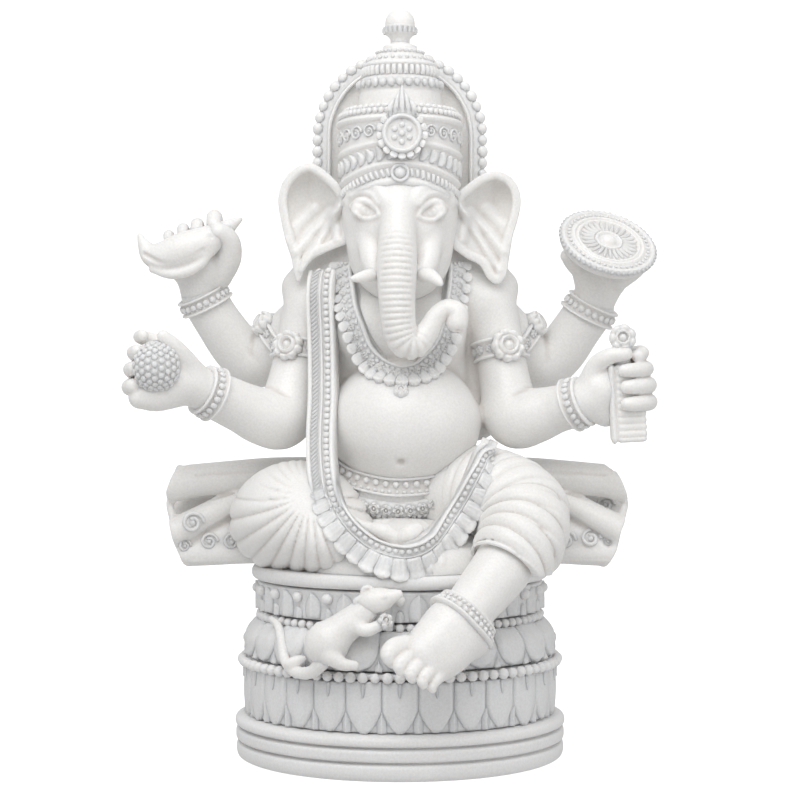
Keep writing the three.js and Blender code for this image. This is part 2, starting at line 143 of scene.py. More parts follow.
def smooth_line(stations, steps):
    """A Catmull-Rom line through stations, which may carry more than three values each."""
    s = np.array(stations, float)
    ends = np.vstack([2 * s[0] - s[1], s, 2 * s[-1] - s[-2]])
    out = []
    for i in range(len(s) - 1):
        a, b, c, d = ends[i : i + 4]
        t = np.linspace(0, 1, steps, endpoint=False)[:, None]
        square, cube = (2 * a - 5 * b + 4 * c - d) * t**2, (3 * b - a - 3 * c + d) * t**3
        out.append(0.5 * (2 * b + (c - a) * t + square + cube))
    return np.vstack(out + [s[-1:]])


def mirrored(side, places):
    """Places written for the idol's left, turned over to its right when side is -1."""
    return [(side * x, *rest) for x, *rest in places]


def limb(stations, steps=5, squeeze=(1, 1, 1)):
    """A round limb through stations of (x, y, z, radius). squeeze above 1 thins it along that axis."""
    line = smooth_line(stations, steps)
    squeeze = np.array(squeeze, float)
    centres = line[:, :3] * squeeze
    radii = np.maximum(line[:, 3], 0.2)

    def distance(points):
        q = points * squeeze
        best = np.full(len(q), FAR)
        for a, b, ra, rb in zip(centres[:-1], centres[1:], radii[:-1], radii[1:]):
            ab = b - a
            t = np.clip(((q - a) @ ab) / max(ab @ ab, 1e-9), 0, 1)
            near = q - a - t[:, None] * ab
            np.minimum(best, np.sqrt((near**2).sum(1)) - (ra + (rb - ra) * t), out=best)
        return best / squeeze.max()

    reach = radii[:, None] / squeeze
    return Form(distance, (line[:, :3] - reach).min(0), (line[:, :3] + reach).max(0))


def smooth_least(a, b, soft):
    """The lower of a and b, rounded over a width of soft where they cross."""
    if soft <= 0:
        return np.minimum(a, b)
    h = np.maximum(soft - np.abs(a - b), 0) / soft
    return np.minimum(a, b) - h * h * soft * 0.25


def together(soft, *forms):
    """Forms joined with a fillet of about soft."""

    def distance(points):
        value = forms[0](points)
        for form in forms[1:]:
            value = smooth_least(value, form(points), soft)
        return value

    return Form(distance, np.min([f.lowest for f in forms], 0), np.max([f.highest for f in forms], 0))


def cut(form, tool, soft=0.0):
    """form with tool taken away."""

    def distance(points):
        return -smooth_least(-form(points), tool(points), soft)

    return Form(distance, form.lowest, form.highest)


def above(form, level):
    """form, cut off flat at a height."""

    def distance(points):
        return np.maximum(form(points), level - points[:, 2])

    return Form(distance, np.maximum(form.lowest, [-FAR, -FAR, level]), form.highest)


def embossed(form, relief, margin=2.0):
    """form with its surface raised by relief(points), in millimetres."""

    def distance(points):
        value = form(points)
        near = np.abs(value) < margin + 2.5
        value[near] -= relief(points[near])
        return value

    return Form(distance, form.lowest - margin, form.highest + margin)


def bump(x, width):
    """A smooth hill of height one at zero that ends at width."""
    return np.clip(1 - (x / width) ** 2, 0, 1) ** 2


def fade(x, start, end):
    """A smooth ramp from nought at start to one at end."""
    t = np.clip((x - start) / (end - start), 0, 1)
    return t * t * (3 - 2 * t)


def slope(form, points, step=0.25):
    """The outward direction of a form at points."""
    out = np.zeros_like(points)
    for axis in range(3):
        shift = np.zeros(3)
        shift[axis] = step
        out[:, axis] = form(points + shift) - form(points - shift)
    return out / np.maximum(np.linalg.norm(out, axis=1, keepdims=True), 1e-9)


def settled(form, points, lift=0.0, rounds=8):
    """points moved along the slope until they lie at lift over the form."""
    p = np.array(points, float)
    for _ in range(rounds):
        p -= slope(form, p) * (form(p) - lift)[:, None]
    return p


def front_of(form, x, z, start=-80.0):
    """Where lines along +Y first meet the form, for arrays of x and z."""
    p = np.column_stack([x, np.full(len(x), start), z]).astype(float)
    for _ in range(60):
        p[:, 1] += np.clip(form(p), 0, 6) * 0.9
    return p


# ---- from form to mesh


def sampled(form, step):
    """The form's distance on a regular grid, worked out finely only near the surface."""
    start = form.lowest - 2.5 * step
    count = np.ceil((form.highest - form.lowest + 5 * step) / (step * BLOCK)).astype(int) + 1
    centre = (BLOCK - 1) / 2

    def points_at(index, offset):
        return start + (index * BLOCK + offset) * step

    index = np.stack(np.meshgrid(*[np.arange(n) for n in count], indexing="ij"), -1).reshape(-1, 3)
    coarse = form(points_at(index, centre))
    grid = np.repeat(coarse[:, None], BLOCK**3, 1)
    near = np.abs(coarse) < step * BLOCK * 1.15 + 1.0
    offsets = np.stack(np.meshgrid(*[np.arange(BLOCK)] * 3, indexing="ij"), -1).reshape(-1, 3)
    fine = points_at(index[near][:, None, :], offsets[None, :, :]).reshape(-1, 3)
    values = np.empty(len(fine))
    for i in range(0, len(fine), BATCH):
        values[i : i + BATCH] = form(fine[i : i + BATCH])
    grid[near] = values.reshape(-1, BLOCK**3)
    shaped = grid.reshape(*count, BLOCK, BLOCK, BLOCK).transpose(0, 3, 1, 4, 2, 5)
    return shaped.reshape(*(count * BLOCK)), start


def sculpt(name, form, step=0.5):
    """A closed mesh of the form's surface, as a new object in metres."""
    values, start = sampled(form, step)
    grid = openvdb.FloatGrid(10.0)
    grid.copyFromArray(np.ascontiguousarray(np.clip(values, -10, 9.99).astype(np.float32)))
    grid.transform = openvdb.createLinearTransform(step)
    points, quads = grid.convertToQuads(0.0)
    points = np.asarray(points, float) + start
    quads = np.asarray(quads, np.int64)
    return mesh_object(name, points, quads, outward=True)


def mesh_object(name, points, faces, outward=False, smooth=True):
    """A mesh object from points in millimetres. faces is an array, or a list of tuples."""
    mesh = bpy.data.meshes.new(name)
    points = np.asarray(points, float) * MM
    if isinstance(faces, np.ndarray):
        corners = faces.shape[1]
        mesh.vertices.add(len(points))
        mesh.vertices.foreach_set("co", points.ravel())
        mesh.loops.add(faces.size)
        mesh.loops.foreach_set("vertex_index", faces.ravel().astype(np.int32))
        mesh.polygons.add(len(faces))
        mesh.polygons.foreach_set("loop_start", np.arange(0, faces.size, corners, dtype=np.int32))
        mesh.update(calc_edges=True)
    else:
        mesh.from_pydata(points.tolist(), [], [list(f) for f in faces])
    mesh.validate()
    if outward and enclosed(mesh) < 0:
        mesh.flip_normals()
    mesh.polygons.foreach_set("use_smooth", np.full(len(mesh.polygons), smooth))
    made = bpy.data.objects.new(name, mesh)
    bpy.context.scene.collection.objects.link(made)
    return made


def enclosed(mesh):
    """The signed volume of a mesh, which is above zero when its faces point out."""
    mesh.calc_loop_triangles()
    corners = np.empty(len(mesh.loop_triangles) * 3, np.int32)
    mesh.loop_triangles.foreach_get("vertices", corners)
    place = np.empty(len(mesh.vertices) * 3)
    mesh.vertices.foreach_get("co", place)
    a, b, c = place.reshape(-1, 3)[corners.reshape(-1, 3)].transpose(1, 0, 2)
    return float((a * np.cross(b, c)).sum() / 6)


def mark_hollows(piece, rounds=6):
    """Stores how hollow the surface is at each point, as the mask of the warm painted shade in the carving.
    """
    mesh = piece.data
    count = len(mesh.vertices)
    place = np.empty(count * 3)
    mesh.vertices.foreach_get("co", place)
    place = place.reshape(-1, 3) / MM
    normal = np.empty(count * 3)
    mesh.vertices.foreach_get("normal", normal)
    normal = normal.reshape(-1, 3)
    ends = np.empty(len(mesh.edges) * 2, np.int32)
    mesh.edges.foreach_get("vertices", ends)
    a, b = ends.reshape(-1, 2).T
    both, other = np.concatenate([a, b]), np.concatenate([b, a])
    share = np.maximum(np.bincount(both, minlength=count), 1)[:, None]

    def mean_of_neighbours(values):
        columns = [np.bincount(both, values[other, i], count) for i in range(values.shape[1])]
        return np.column_stack(columns) / share

    average = place
    for _ in range(rounds):
        average = mean_of_neighbours(average)
    hollow = ((average - place) * normal).sum(1)
    hollow = mean_of_neighbours(hollow[:, None])[:, 0]
    attribute = mesh.attributes.get("hollow") or mesh.attributes.new("hollow", "FLOAT", "POINT")
    attribute.data.foreach_set("value", np.clip(hollow * HOLLOW_GAIN, -1, 1).astype(np.float32))


def joined(name, parts):
    """Several objects made one mesh object."""
    bpy.ops.object.select_all(action="DESELECT")
    for part in parts:
        part.select_set(True)
    bpy.context.view_layer.objects.active = parts[0]
    if len(parts) > 1:
        bpy.ops.object.join()
    parts[0].name = name
    parts[0].data.name = name
    return parts[0]


def finished(piece, finish, *nodes):
    """Gives a finished piece its material and its place in the frame."""
    # the mask of the painted shade in the hollows
    mark_hollows(piece)
    piece.data.materials.clear()
    piece.data.materials.append(resin(finish))
    for face in piece.data.polygons:
        face.material_index = 0
    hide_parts(*nodes)
    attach(piece, BODY)
    return piece


# ---- patterns laid along a path


def frames_along(points, outward, closed):
    """Unit vectors along a path and across it, for each of its points."""
    if closed:
        along = np.roll(points, -1, 0) - np.roll(points, 1, 0)
    else:
        along = np.gradient(points, axis=0)
    along /= np.maximum(np.linalg.norm(along, axis=1, keepdims=True), 1e-9)
    out = outward - along * (outward * along).sum(1, keepdims=True)
    out /= np.maximum(np.linalg.norm(out, axis=1, keepdims=True), 1e-9)
    return along, out, np.cross(out, along)


class Path:
    """A line on a surface: its points, the way out of the surface at each, and whether it closes."""

    def __init__(self, points, outward, closed=False):
        self.points = np.asarray(points, float)
        self.closed = closed
        outward = np.asarray(outward, float)
        self.along, self.outward, self.across = frames_along(self.points, outward, closed)

    def beside(self, across=0.0, lift=0.0):
        """The same line, moved sideways and off the surface."""
        moved = self.points + self.across * np.reshape(across, (-1, 1)) + self.outward * lift
        return Path(moved, self.outward, self.closed)

    def part(self, start, end):
        """A stretch of the line, with start and end as shares of its points."""
        count = len(self.points)
        chosen = slice(int(start * (count - 1)), int(end * (count - 1)) + 1)
        return Path(self.points[chosen], self.outward[chosen], False)


def path_on(form, points, lift=0.0, closed=False, steps=8):
    """A smooth line through given points, settled on a form."""
    points = list(points)
    if closed:
        line = smooth_line(points[-2:] + points + points[:3], steps)[2 * steps : (len(points) + 2) * steps]
    else:
        line = smooth_line(points, steps)
    line = settled(form, line[:, :3], lift)
    return Path(line, slope(form, line, 0.8), closed)


def hoop_on(form, centre, axis, radius, lift=0.0, count=48):
    """A closed line round a limb, settled on its skin."""
    centre, axis = np.array(centre, float), np.array(axis, float)
    axis /= np.linalg.norm(axis)
    side = np.cross(axis, (0, -1, 0.2))
    side /= np.linalg.norm(side)
    front = np.cross(side, axis)
    turn = np.linspace(0, 2 * math.pi, count, endpoint=False)[:, None]
    ring = centre + radius * (np.cos(turn) * front + np.sin(turn) * side)
    ring = settled(form, ring, lift)
    ring += axis * ((centre - ring) @ axis)[:, None] * 0.8
    return Path(ring, slope(form, ring, 0.8), True)


def ring_path(radius, z, centre=(0, 0), count=144, out_z=0.0, drop=None):
    """A level circle that runs anticlockwise from the front. out_z tips its outward way up or down."""
    turn = np.linspace(0, 2 * math.pi, count, endpoint=False) - math.pi / 2
    x, y = np.cos(turn), np.sin(turn)
    points = np.column_stack([centre[0] + radius * x, centre[1] + radius * y, np.full(count, z)])
    if drop is not None:
        points = drop(points)
    return Path(points, np.column_stack([x, y, np.full(count, out_z)]), True)


def ribbon(name, path, section, width=1.0, height=1.0, sunk=1.6):
    """A closed band along a path. section is its outline as (across, out), anticlockwise from the back."""
    section = np.array(section, float)
    section[:, 1] *= np.where(section[:, 1] < 0, sunk / height, 1)
    count, corners = len(path.points), len(section)
    wide = np.broadcast_to(np.reshape(width, (-1, 1, 1)), (count, 1, 1))
    points = (
        path.points[:, None, :]
        + path.across[:, None, :] * section[None, :, 0:1] * wide
        + path.outward[:, None, :] * section[None, :, 1:2] * height
    ).reshape(-1, 3)
    faces = []
    rows = count if path.closed else count - 1
    for i in range(rows):
        j = (i + 1) % count
        for k in range(corners):
            m = (k + 1) % corners
            faces.append((i * corners + k, j * corners + k, j * corners + m, i * corners + m))
    if not path.closed:
        faces.append(tuple(range(corners)))
        faces.append(tuple((count - 1) * corners + k for k in reversed(range(corners))))
    return mesh_object(name, points, faces, outward=True)


# Sections of bands, one unit wide and one unit high over a back that is sunk in the surface.
ROUND_BAND = [
    (-0.5, -1), (-0.5, 0.1), (-0.38, 0.75), (-0.14, 1), (0.14, 1), (0.38, 0.75), (0.5, 0.1), (0.5, -1),
]
LIPPED_BAND = [
    (-0.5, -1), (-0.5, 0.8), (-0.46, 1), (-0.38, 1), (-0.34, 0.45),
    (0.34, 0.45), (0.38, 1), (0.46, 1), (0.5, 0.8), (0.5, -1),
]
CORD = [(0.5 * math.cos(a), math.sin(a)) for a in np.linspace(0, 2 * math.pi, 8, endpoint=False)]


# ---- motifs that rows repeat
#
# A motif is one unit across on X, one along Y and one proud on Z. A row turns its Z out of the surface.


def motif(kind):
    """The shared, hidden object of a motif. kind is its maker, or its maker with what that is given."""
    maker, *given = kind if isinstance(kind, tuple) else (kind,)
    name = "-".join(["motif", maker.__name__, *map(str, given)])
    made = bpy.data.objects.get(name)
    if made is None:
        made = maker(*given)
        made.name = name
        made.hide_render = True
    return made


def around(sides):
    """The turns of evenly spaced points round a circle."""
    return [2 * math.pi * k / sides for k in range(sides)]


def stacked(name, tip, rings):
    """A closed motif from the point on top and rings of points going down from it, all of one count."""
    sides = len(rings[0])
    points = [tip] + [p for ring in rings for p in ring]
    faces = [(0, 1 + k, 1 + (k + 1) % sides) for k in range(sides)]
    for i in range(len(rings) - 1):
        for k in range(sides):
            a, b = 1 + i * sides + k, 1 + i * sides + (k + 1) % sides
            faces.append((a, a + sides, b + sides, b))
    faces.append(tuple(1 + (len(rings) - 1) * sides + k for k in reversed(range(sides))))
    return mesh_object(name, np.array(points) / MM, faces, outward=True)


def bead(sides=10):
    """A round bead, half sunk."""
    flat, levels, span = 0.9, 4, math.pi * 0.72
    rings = []
    for i in range(1, levels + 1):
        lift = math.pi / 2 - i * span / levels
        wide, z = 0.5 * math.cos(lift), 0.5 * flat * math.sin(lift)
        rings.append([(wide * math.cos(t), wide * math.sin(t), z) for t in around(sides)])
    return stacked("bead", (0, 0, 0.5 * flat), rings)


def tile(name, half_width, height, columns=8, rows=10, back=-0.5):
    """A raised leaf. half_width(v) is its outline and height(u, v) its relief, with v from 0 to 1 along Y."""
    points, faces = [], []
    us = np.linspace(-1, 1, columns + 1)
    vs = np.linspace(0, 1, rows + 1)
    for v in vs:
        for u in us:
            points.append((u * half_width(v), v - 0.5, height(u, v)))
    wide = columns + 1
    for i in range(rows):
        for k in range(columns):
            a = i * wide + k
            faces.append((a, a + 1, a + wide + 1, a + wide))
    edge = (
        list(range(wide))
        + [i * wide + columns for i in range(1, rows + 1)]
        + [rows * wide + k for k in range(columns - 1, -1, -1)]
        + [i * wide for i in range(rows - 1, 0, -1)]
    )
    start = len(points)
    points += [(points[e][0], points[e][1], back) for e in edge]
    count = len(edge)
    for k in range(count):
        m = (k + 1) % count
        faces.append((edge[m], edge[k], start + k, start + m))
    faces.append(tuple(start + k for k in reversed(range(count))))
    return mesh_object(name, np.array(points) / MM, faces, outward=True)


def rosette(petals=8):
    """A round flower: a boss, a ring and petals about them."""

    def height(r, turn):
        boss = 1.0 * bump(r, 0.16)
        ring = 0.75 * bump(r - 0.23, 0.06)
        lobes = 0.62 * bump(r - 0.37, 0.13) * np.abs(np.sin(turn * petals / 2)) ** 0.6
        return 0.25 * (r < 0.44) + boss + ring + lobes

    rings = []
    for r in (0.07, 0.13, 0.17, 0.2, 0.23, 0.26, 0.3, 0.35, 0.4, 0.45, 0.5):
        ring = []
        for turn in around(4 * petals):
            scallop = 1 if r < 0.4 else 0.9 + 0.1 * abs(math.sin(turn * petals / 2)) ** 0.5
            top = float(height(r, turn)) if r < 0.5 else 0.0
            ring.append((r * scallop * math.cos(turn), r * scallop * math.sin(turn), top))
        rings.append(ring)
    rings.append([(x, y, -0.6) for x, y, _ in rings[-1]])
    return stacked("rosette", (0, 0, 1.2), rings)


def scroll():
    """A curled tendril: a ridge that winds in on itself to a small eye."""
    turns = np.linspace(0, 2 * math.pi * 1.35, 30)
    reach = 0.44 - 0.3 * turns / turns[-1]
    points = np.column_stack([reach * np.cos(turns), reach * np.sin(turns), np.zeros(30)]) / MM
    line = Path(points, np.tile([0, 0, 1.0], (30, 1)))
    ridge = ribbon("ridge", line, CORD, 0.16 / MM, 0.5 / MM, 0.5 / MM)
    eye = bead(8)
    eye.data.transform(Matrix.Diagonal((0.26, 0.26, 1.2, 1)))
    return joined("scroll", [ridge, eye])


def lotus_petal():
    """A hanging petal of the lower tier: straight sides, a blunt tip and a raised edge."""

    def half_width(v):
        return 0.1 + 0.4 * min(1.0, (v / 0.42)) ** 0.75

    def height(u, v):
        edge = 0.35 * bump(abs(u) - 0.86, 0.14)
        swell = 0.75 * (1 - abs(u) ** 2.6) * (0.55 + 0.45 * math.sin(math.pi * min(1, v * 0.8 + 0.1)))
        return 0.15 + swell + edge

    return tile("lotus_petal", half_width, height, 10, 12)


def cup_petal():
    """A broad petal of the upper tier, round at its foot, with a line inside its edge."""

    def half_width(v):
        return 0.5 * math.sqrt(max(0.004, 1 - (1 - min(1, v / 0.55)) ** 2))

    def height(u, v):
        edge = 0.45 * bump(abs(u) - 0.9, 0.12) + 0.45 * bump(v - 0.05, 0.08)
        inner = 0.3 * bump(math.hypot(u, max(0, 0.62 - v) * 1.5) - 0.55, 0.12)
        bulge = 0.8 * math.sin(math.pi * v)
        return 0.1 + 0.5 * (1 - abs(u) ** 3) * min(1, 0.4 + v) + edge + inner + bulge

    return tile("cup_petal", half_width, height, 10, 10)


def leaf():
    """A pointed leaf with a middle rib."""

    def half_width(v):
        return max(0.02, 0.5 * (1 - v) ** 0.7 * (0.55 + 0.9 * v))

    def height(u, v):
        return 0.25 + 0.55 * (1 - abs(u)) ** 0.8 + 0.25 * bump(u, 0.2)

    return tile("leaf", half_width, height, 8, 8)


def shell_petal():
    """A fluted petal with a round end, as on the outer edge of the garland."""

    def half_width(v):
        tip = math.sqrt(max(0.02, 1 - max(0, (v - 0.62) / 0.38) ** 2))
        return 0.5 * (0.62 + 0.38 * min(1, v * 1.6)) * tip

    def height(u, v):
        flute = 0.22 * abs(math.sin(u * math.pi * 1.5))
        rim = 0.35 * bump(v - 0.86, 0.14) + 0.3 * bump(abs(u) - 0.88, 0.14)
        return 0.25 + 0.35 * (1 - u * u) + flute * 0.6 + rim

    return tile("shell_petal", half_width, height, 10, 9)


def comma():
    """A leaf that curls over at its tip, with a rib."""

    def half_width(v):
        return 0.46 * max(0.05, math.sin(math.pi * min(0.98, 0.08 + 0.9 * v))) ** 0.5

    def height(u, v):
        return 0.15 + 0.75 * (1 - abs(u) ** 1.6) * (0.6 + 0.4 * v) + 0.25 * bump(u - 0.5, 0.4)

    made = tile("comma", half_width, height, 6, 8)
    place = np.array([v.co[:] for v in made.data.vertices])
    place[:, 0] += 0.28 * np.sin(math.pi * (place[:, 1] + 0.5))
    made.data.vertices.foreach_set("co", place.ravel())
    return made


def sunflower():
    """A large flower: a ringed boss with nine round petals about it."""
    rings = []
    for r in (0.06, 0.11, 0.14, 0.17, 0.2, 0.23, 0.26, 0.29, 0.33, 0.38, 0.43, 0.47, 0.5):
        ring = []
        for turn in around(48):
            lobe = abs(math.sin(turn * 4.5))
            boss, edge = 0.75 * bump(r, 0.17), 0.8 * bump(r - 0.24, 0.06)
            petal = 0.65 * bump(r - 0.4, 0.1) * lobe**0.7
            reach = r * (1 if r < 0.34 else 0.86 + 0.14 * lobe**0.6)
            base = 0.25 if r < 0.48 else 0.0
            ring.append((reach * math.cos(turn), reach * math.sin(turn), base + boss + edge + petal))
        rings.append(ring)
    rings.append([(x, y, -0.7) for x, y, _ in rings[-1]])
    return stacked("sunflower", (0, 0, 1.0), rings)


def flute():
    """A slanting gadroon, round across and along."""

    def height(u, v):
        return 0.1 + 0.9 * math.sqrt(max(0, 1 - u * u)) * math.sin(math.pi * min(0.97, max(0.03, v))) ** 0.4

    return tile("flute", lambda v: 0.42, height, 6, 6)


# ---- the row of motifs, in Geometry Nodes


def planted(tree):
    """A function that adds a node to a tree, sets its values and links or fills its inputs."""

    def node(kind, x, y, inputs=None, **values):
        made = tree.nodes.new(kind)
        made.location = (x, y)
        for key, value in values.items():
            setattr(made, key, value)
        for key, value in (inputs or {}).items():
            if isinstance(value, bpy.types.NodeSocket):
                tree.links.new(value, made.inputs[key])
            else:
                made.inputs[key].default_value = value
        return made

    return node


def row_tree():
    """A node tree that stands a motif along a path, turned to its surface, and makes it real."""
    tree = bpy.data.node_groups.get("Row of motifs")
    if tree:
        return tree
    tree = bpy.data.node_groups.new("Row of motifs", "GeometryNodeTree")
    face = tree.interface
    for name, kind, value in (
        ("Path", "Geometry", None),
        ("Motif", "Object", None),
        ("Count", "Int", 12),
        ("Size", "Vector", (0.002, 0.002, 0.001)),
        ("Unevenness", "Float", 0.05),
        ("Seed", "Int", ROW_SEED),
        ("Slant", "Float", 0.0),
        ("Material", "Material", None),
    ):
        socket = face.new_socket(name, in_out="INPUT", socket_type="NodeSocket" + kind)
        if value is not None:
            socket.default_value = value
    face.items_tree["Count"].min_value = 1
    face.items_tree["Slant"].subtype = "ANGLE"
    face.new_socket("Row", in_out="OUTPUT", socket_type="NodeSocketGeometry")

    node = planted(tree)
    given = node("NodeGroupInput", -1000, 0).outputs
    curve = node("GeometryNodeMeshToCurve", -800, 100, {"Mesh": given["Path"]}).outputs["Curve"]
    values = {"Curve": curve, "Count": given["Count"]}
    places = node("GeometryNodeResampleCurve", -600, 100, values, mode="COUNT")

    attribute = "GeometryNodeInputNamedAttribute"
    outward = node(attribute, -800, -200, {"Name": "outward"}, data_type="FLOAT_VECTOR")
    along = node("GeometryNodeInputTangent", -800, -350)
    values = {"Primary Axis": outward.outputs["Attribute"], "Secondary Axis": along.outputs["Tangent"]}
    facing = node("FunctionNodeAxesToRotation", -560, -250, values, primary_axis="Z", secondary_axis="X")
    lean = node("FunctionNodeAxisAngleToRotation", -560, -420, {"Axis": (0, 0, 1), "Angle": given["Slant"]})
    values = {"Rotation": facing.outputs["Rotation"], "Rotate By": lean.outputs["Rotation"]}
    way = node("FunctionNodeRotateRotation", -360, -300, values, rotation_space="LOCAL")

    # The random share by which each copy is larger or smaller, about one.
    girth = node(attribute, -800, -550, {"Name": "girth"}, data_type="FLOAT")
    uneven = given["Unevenness"]
    least = node("ShaderNodeMath", -600, -620, {0: 1.0, 1: uneven}, operation="SUBTRACT").outputs[0]
    most = node("ShaderNodeMath", -600, -760, {0: 1.0, 1: uneven}, operation="ADD").outputs[0]
    values = {2: least, 3: most, "Seed": given["Seed"]}
    chance = node("FunctionNodeRandomValue", -400, -620, values, data_type="FLOAT").outputs[1]
    values = {0: girth.outputs["Attribute"], 1: chance}
    times = node("ShaderNodeMath", -220, -560, values, operation="MULTIPLY").outputs[0]
    size = node("ShaderNodeVectorMath", -60, -480, {0: given["Size"], "Scale": times}, operation="SCALE")

    shape = node("GeometryNodeObjectInfo", -360, -80, {"Object": given["Motif"]}, transform_space="ORIGINAL")
    values = {
        "Points": places.outputs["Curve"],
        "Instance": shape.outputs["Geometry"],
        "Rotation": way.outputs["Rotation"],
        "Scale": size.outputs["Vector"],
    }
    stand = node("GeometryNodeInstanceOnPoints", 120, 80, values).outputs["Instances"]
    real = node("GeometryNodeRealizeInstances", 320, 80, {"Geometry": stand}).outputs["Geometry"]
    paint = node("GeometryNodeSetMaterial", 500, 80, {"Geometry": real, "Material": given["Material"]})
    node("NodeGroupOutput", 680, 80, {"Row": paint.outputs["Geometry"]})
    return tree


def row(name, path, kind, count, size, slant=0.0, uneven=0.04, girth=None):
    """Stands count copies of a motif along a path, size millimetres wide, long and proud, as a plain mesh."""
    source = motif(kind)
    mesh = bpy.data.meshes.new(name)
    number = len(path.points)
    edges = [(i, i + 1) for i in range(number - 1)] + ([(number - 1, 0)] if path.closed else [])
    mesh.from_pydata((path.points * MM).tolist(), edges, [])
    outward = mesh.attributes.new("outward", "FLOAT_VECTOR", "POINT")
    outward.data.foreach_set("vector", path.outward.astype(np.float32).ravel())
    girths = np.ones(number) if girth is None else np.asarray(girth, float)
    mesh.attributes.new("girth", "FLOAT", "POINT").data.foreach_set("value", girths.astype(np.float32))
    line = bpy.data.objects.new(name, mesh)
    bpy.context.scene.collection.objects.link(line)
    tree = row_tree()
    modifier = line.modifiers.new("Row", "NODES")
    modifier.node_group = tree
    socket = {item.name: item.identifier for item in tree.interface.items_tree if item.in_out == "INPUT"}
    modifier[socket["Motif"]] = source
    modifier[socket["Count"]] = int(count)
    modifier[socket["Size"]] = [s * MM for s in size]
    modifier[socket["Unevenness"]] = uneven
    modifier[socket["Seed"]] = ROW_SEED
    modifier[socket["Slant"]] = math.radians(slant)
    modifier[socket["Material"]] = resin("carved")
    bpy.context.view_layer.update()
    seen = line.evaluated_get(bpy.context.evaluated_depsgraph_get())
    real = bpy.data.meshes.new_from_object(seen)
    line.modifiers.clear()
    line.data = real
    real.polygons.foreach_set("use_smooth", np.ones(len(real.polygons), bool))
    return line


def at_point(name, place, outward, up, kind, size):
    """One motif set on a surface, size millimetres wide, long and proud."""
    source = motif(kind)
    out = Vector(outward).normalized()
    across = Vector(up).cross(out).normalized()
    axes = Matrix((across, out.cross(across), out)).transposed().to_4x4()
    copy = source.copy()
    copy.data = source.data.copy()
    copy.hide_render = copy.hide_viewport = False
    bpy.context.scene.collection.objects.link(copy)
    stretch = Matrix.Diagonal([s * MM for s in size] + [1])
    copy.data.transform(Matrix.Translation(Vector(place) * MM) @ axes @ stretch)
    copy.name = name
    return copy


def turned(name, profile, centre=(0, 0), sides=96, drop=None):
    """A solid of revolution about a vertical line, from a profile of (radius, height) up its outside."""
    points, faces, rings = [], [], []
    for radius, z in [(0, profile[0][1]), *profile, (0, profile[-1][1])]:
        turns = around(sides) if radius else [0.0]
        rings.append(list(range(len(points), len(points) + len(turns))))
        points += [(centre[0] + radius * math.cos(t), centre[1] + radius * math.sin(t), z) for t in turns]
    for a, b in zip(rings[:-1], rings[1:]):
        for k in range(sides):
            m = (k + 1) % sides
            if len(a) == 1:
                faces.append((a[0], b[m], b[k]))
            elif len(b) == 1:
                faces.append((a[k], a[m], b[0]))
            else:
                faces.append((a[k], a[m], b[m], b[k]))
    points = np.array(points, float)
    if drop is not None:
        points = drop(points)
    return mesh_object(name, points, faces, outward=True)


def softened(profile):
    """A profile with its corners rounded a little, by cutting each corner twice."""
    line = np.array(profile, float)
    for _ in range(2):
        a, b = line[:-1], line[1:]
        cuts = np.stack([a * 0.78 + b * 0.22, a * 0.22 + b * 0.78], 1).reshape(-1, 2)
        line = np.vstack([line[:1], cuts, line[-1:]])
    return [tuple(p) for p in line]


# ---- the figure's forms


def placed(piece, place, turn):
    """Turns a piece by a matrix about the origin and moves it, in millimetres."""
    piece.data.transform(Matrix.Translation(Vector(place) * MM) @ turn)
    return piece


def flat_path(radius, z=0.0, count=96):
    """A circle round the origin of a motif or plate that faces up."""
    level = ring_path(1, 0, count=count).points
    return Path(level * [radius, radius, 0] + [0, 0, z], np.tile([0, 0, 1.0], (count, 1)), True)


def on_front(form, places, lift=0.0):
    """Stations (x, y, z, radius) that lie on the front of a form, from places of (x, z, radius)."""
    places = np.array(places, float)
    skin = front_of(form, places[:, 0], places[:, 1])
    return [(x, y - lift, z, r) for (x, y, z), r in zip(skin, places[:, 2])]


def distance_to_line(points, line):
    """How far points are from a line of points, and how far along it the nearest place is."""
    line = np.asarray(line, float)
    best = np.full(len(points), FAR)
    where = np.zeros(len(points))
    run = 0.0
    for a, b in zip(line[:-1], line[1:]):
        ab = b - a
        length = math.sqrt(ab @ ab)
        t = np.clip(((points - a) @ ab) / max(length**2, 1e-9), 0, 1)
        gap = np.sqrt(((points - a - t[:, None] * ab) ** 2).sum(1))
        nearer = gap < best
        best[nearer] = gap[nearer]
        where[nearer] = run + t[nearer] * length
        run += length
    return best, where


def carved(form, lines):
    """form with smooth ridges or grooves along lines of (points, width, height)."""

    def relief(points):
        value = np.zeros(len(points))
        for line, width, height in lines:
            line = np.asarray(line, float)
            near = ((points > line.min(0) - width) & (points < line.max(0) + width)).all(1)
            if near.any():
                value[near] += height * bump(distance_to_line(points[near], line)[0], width)
        return value

    return embossed(form, relief)


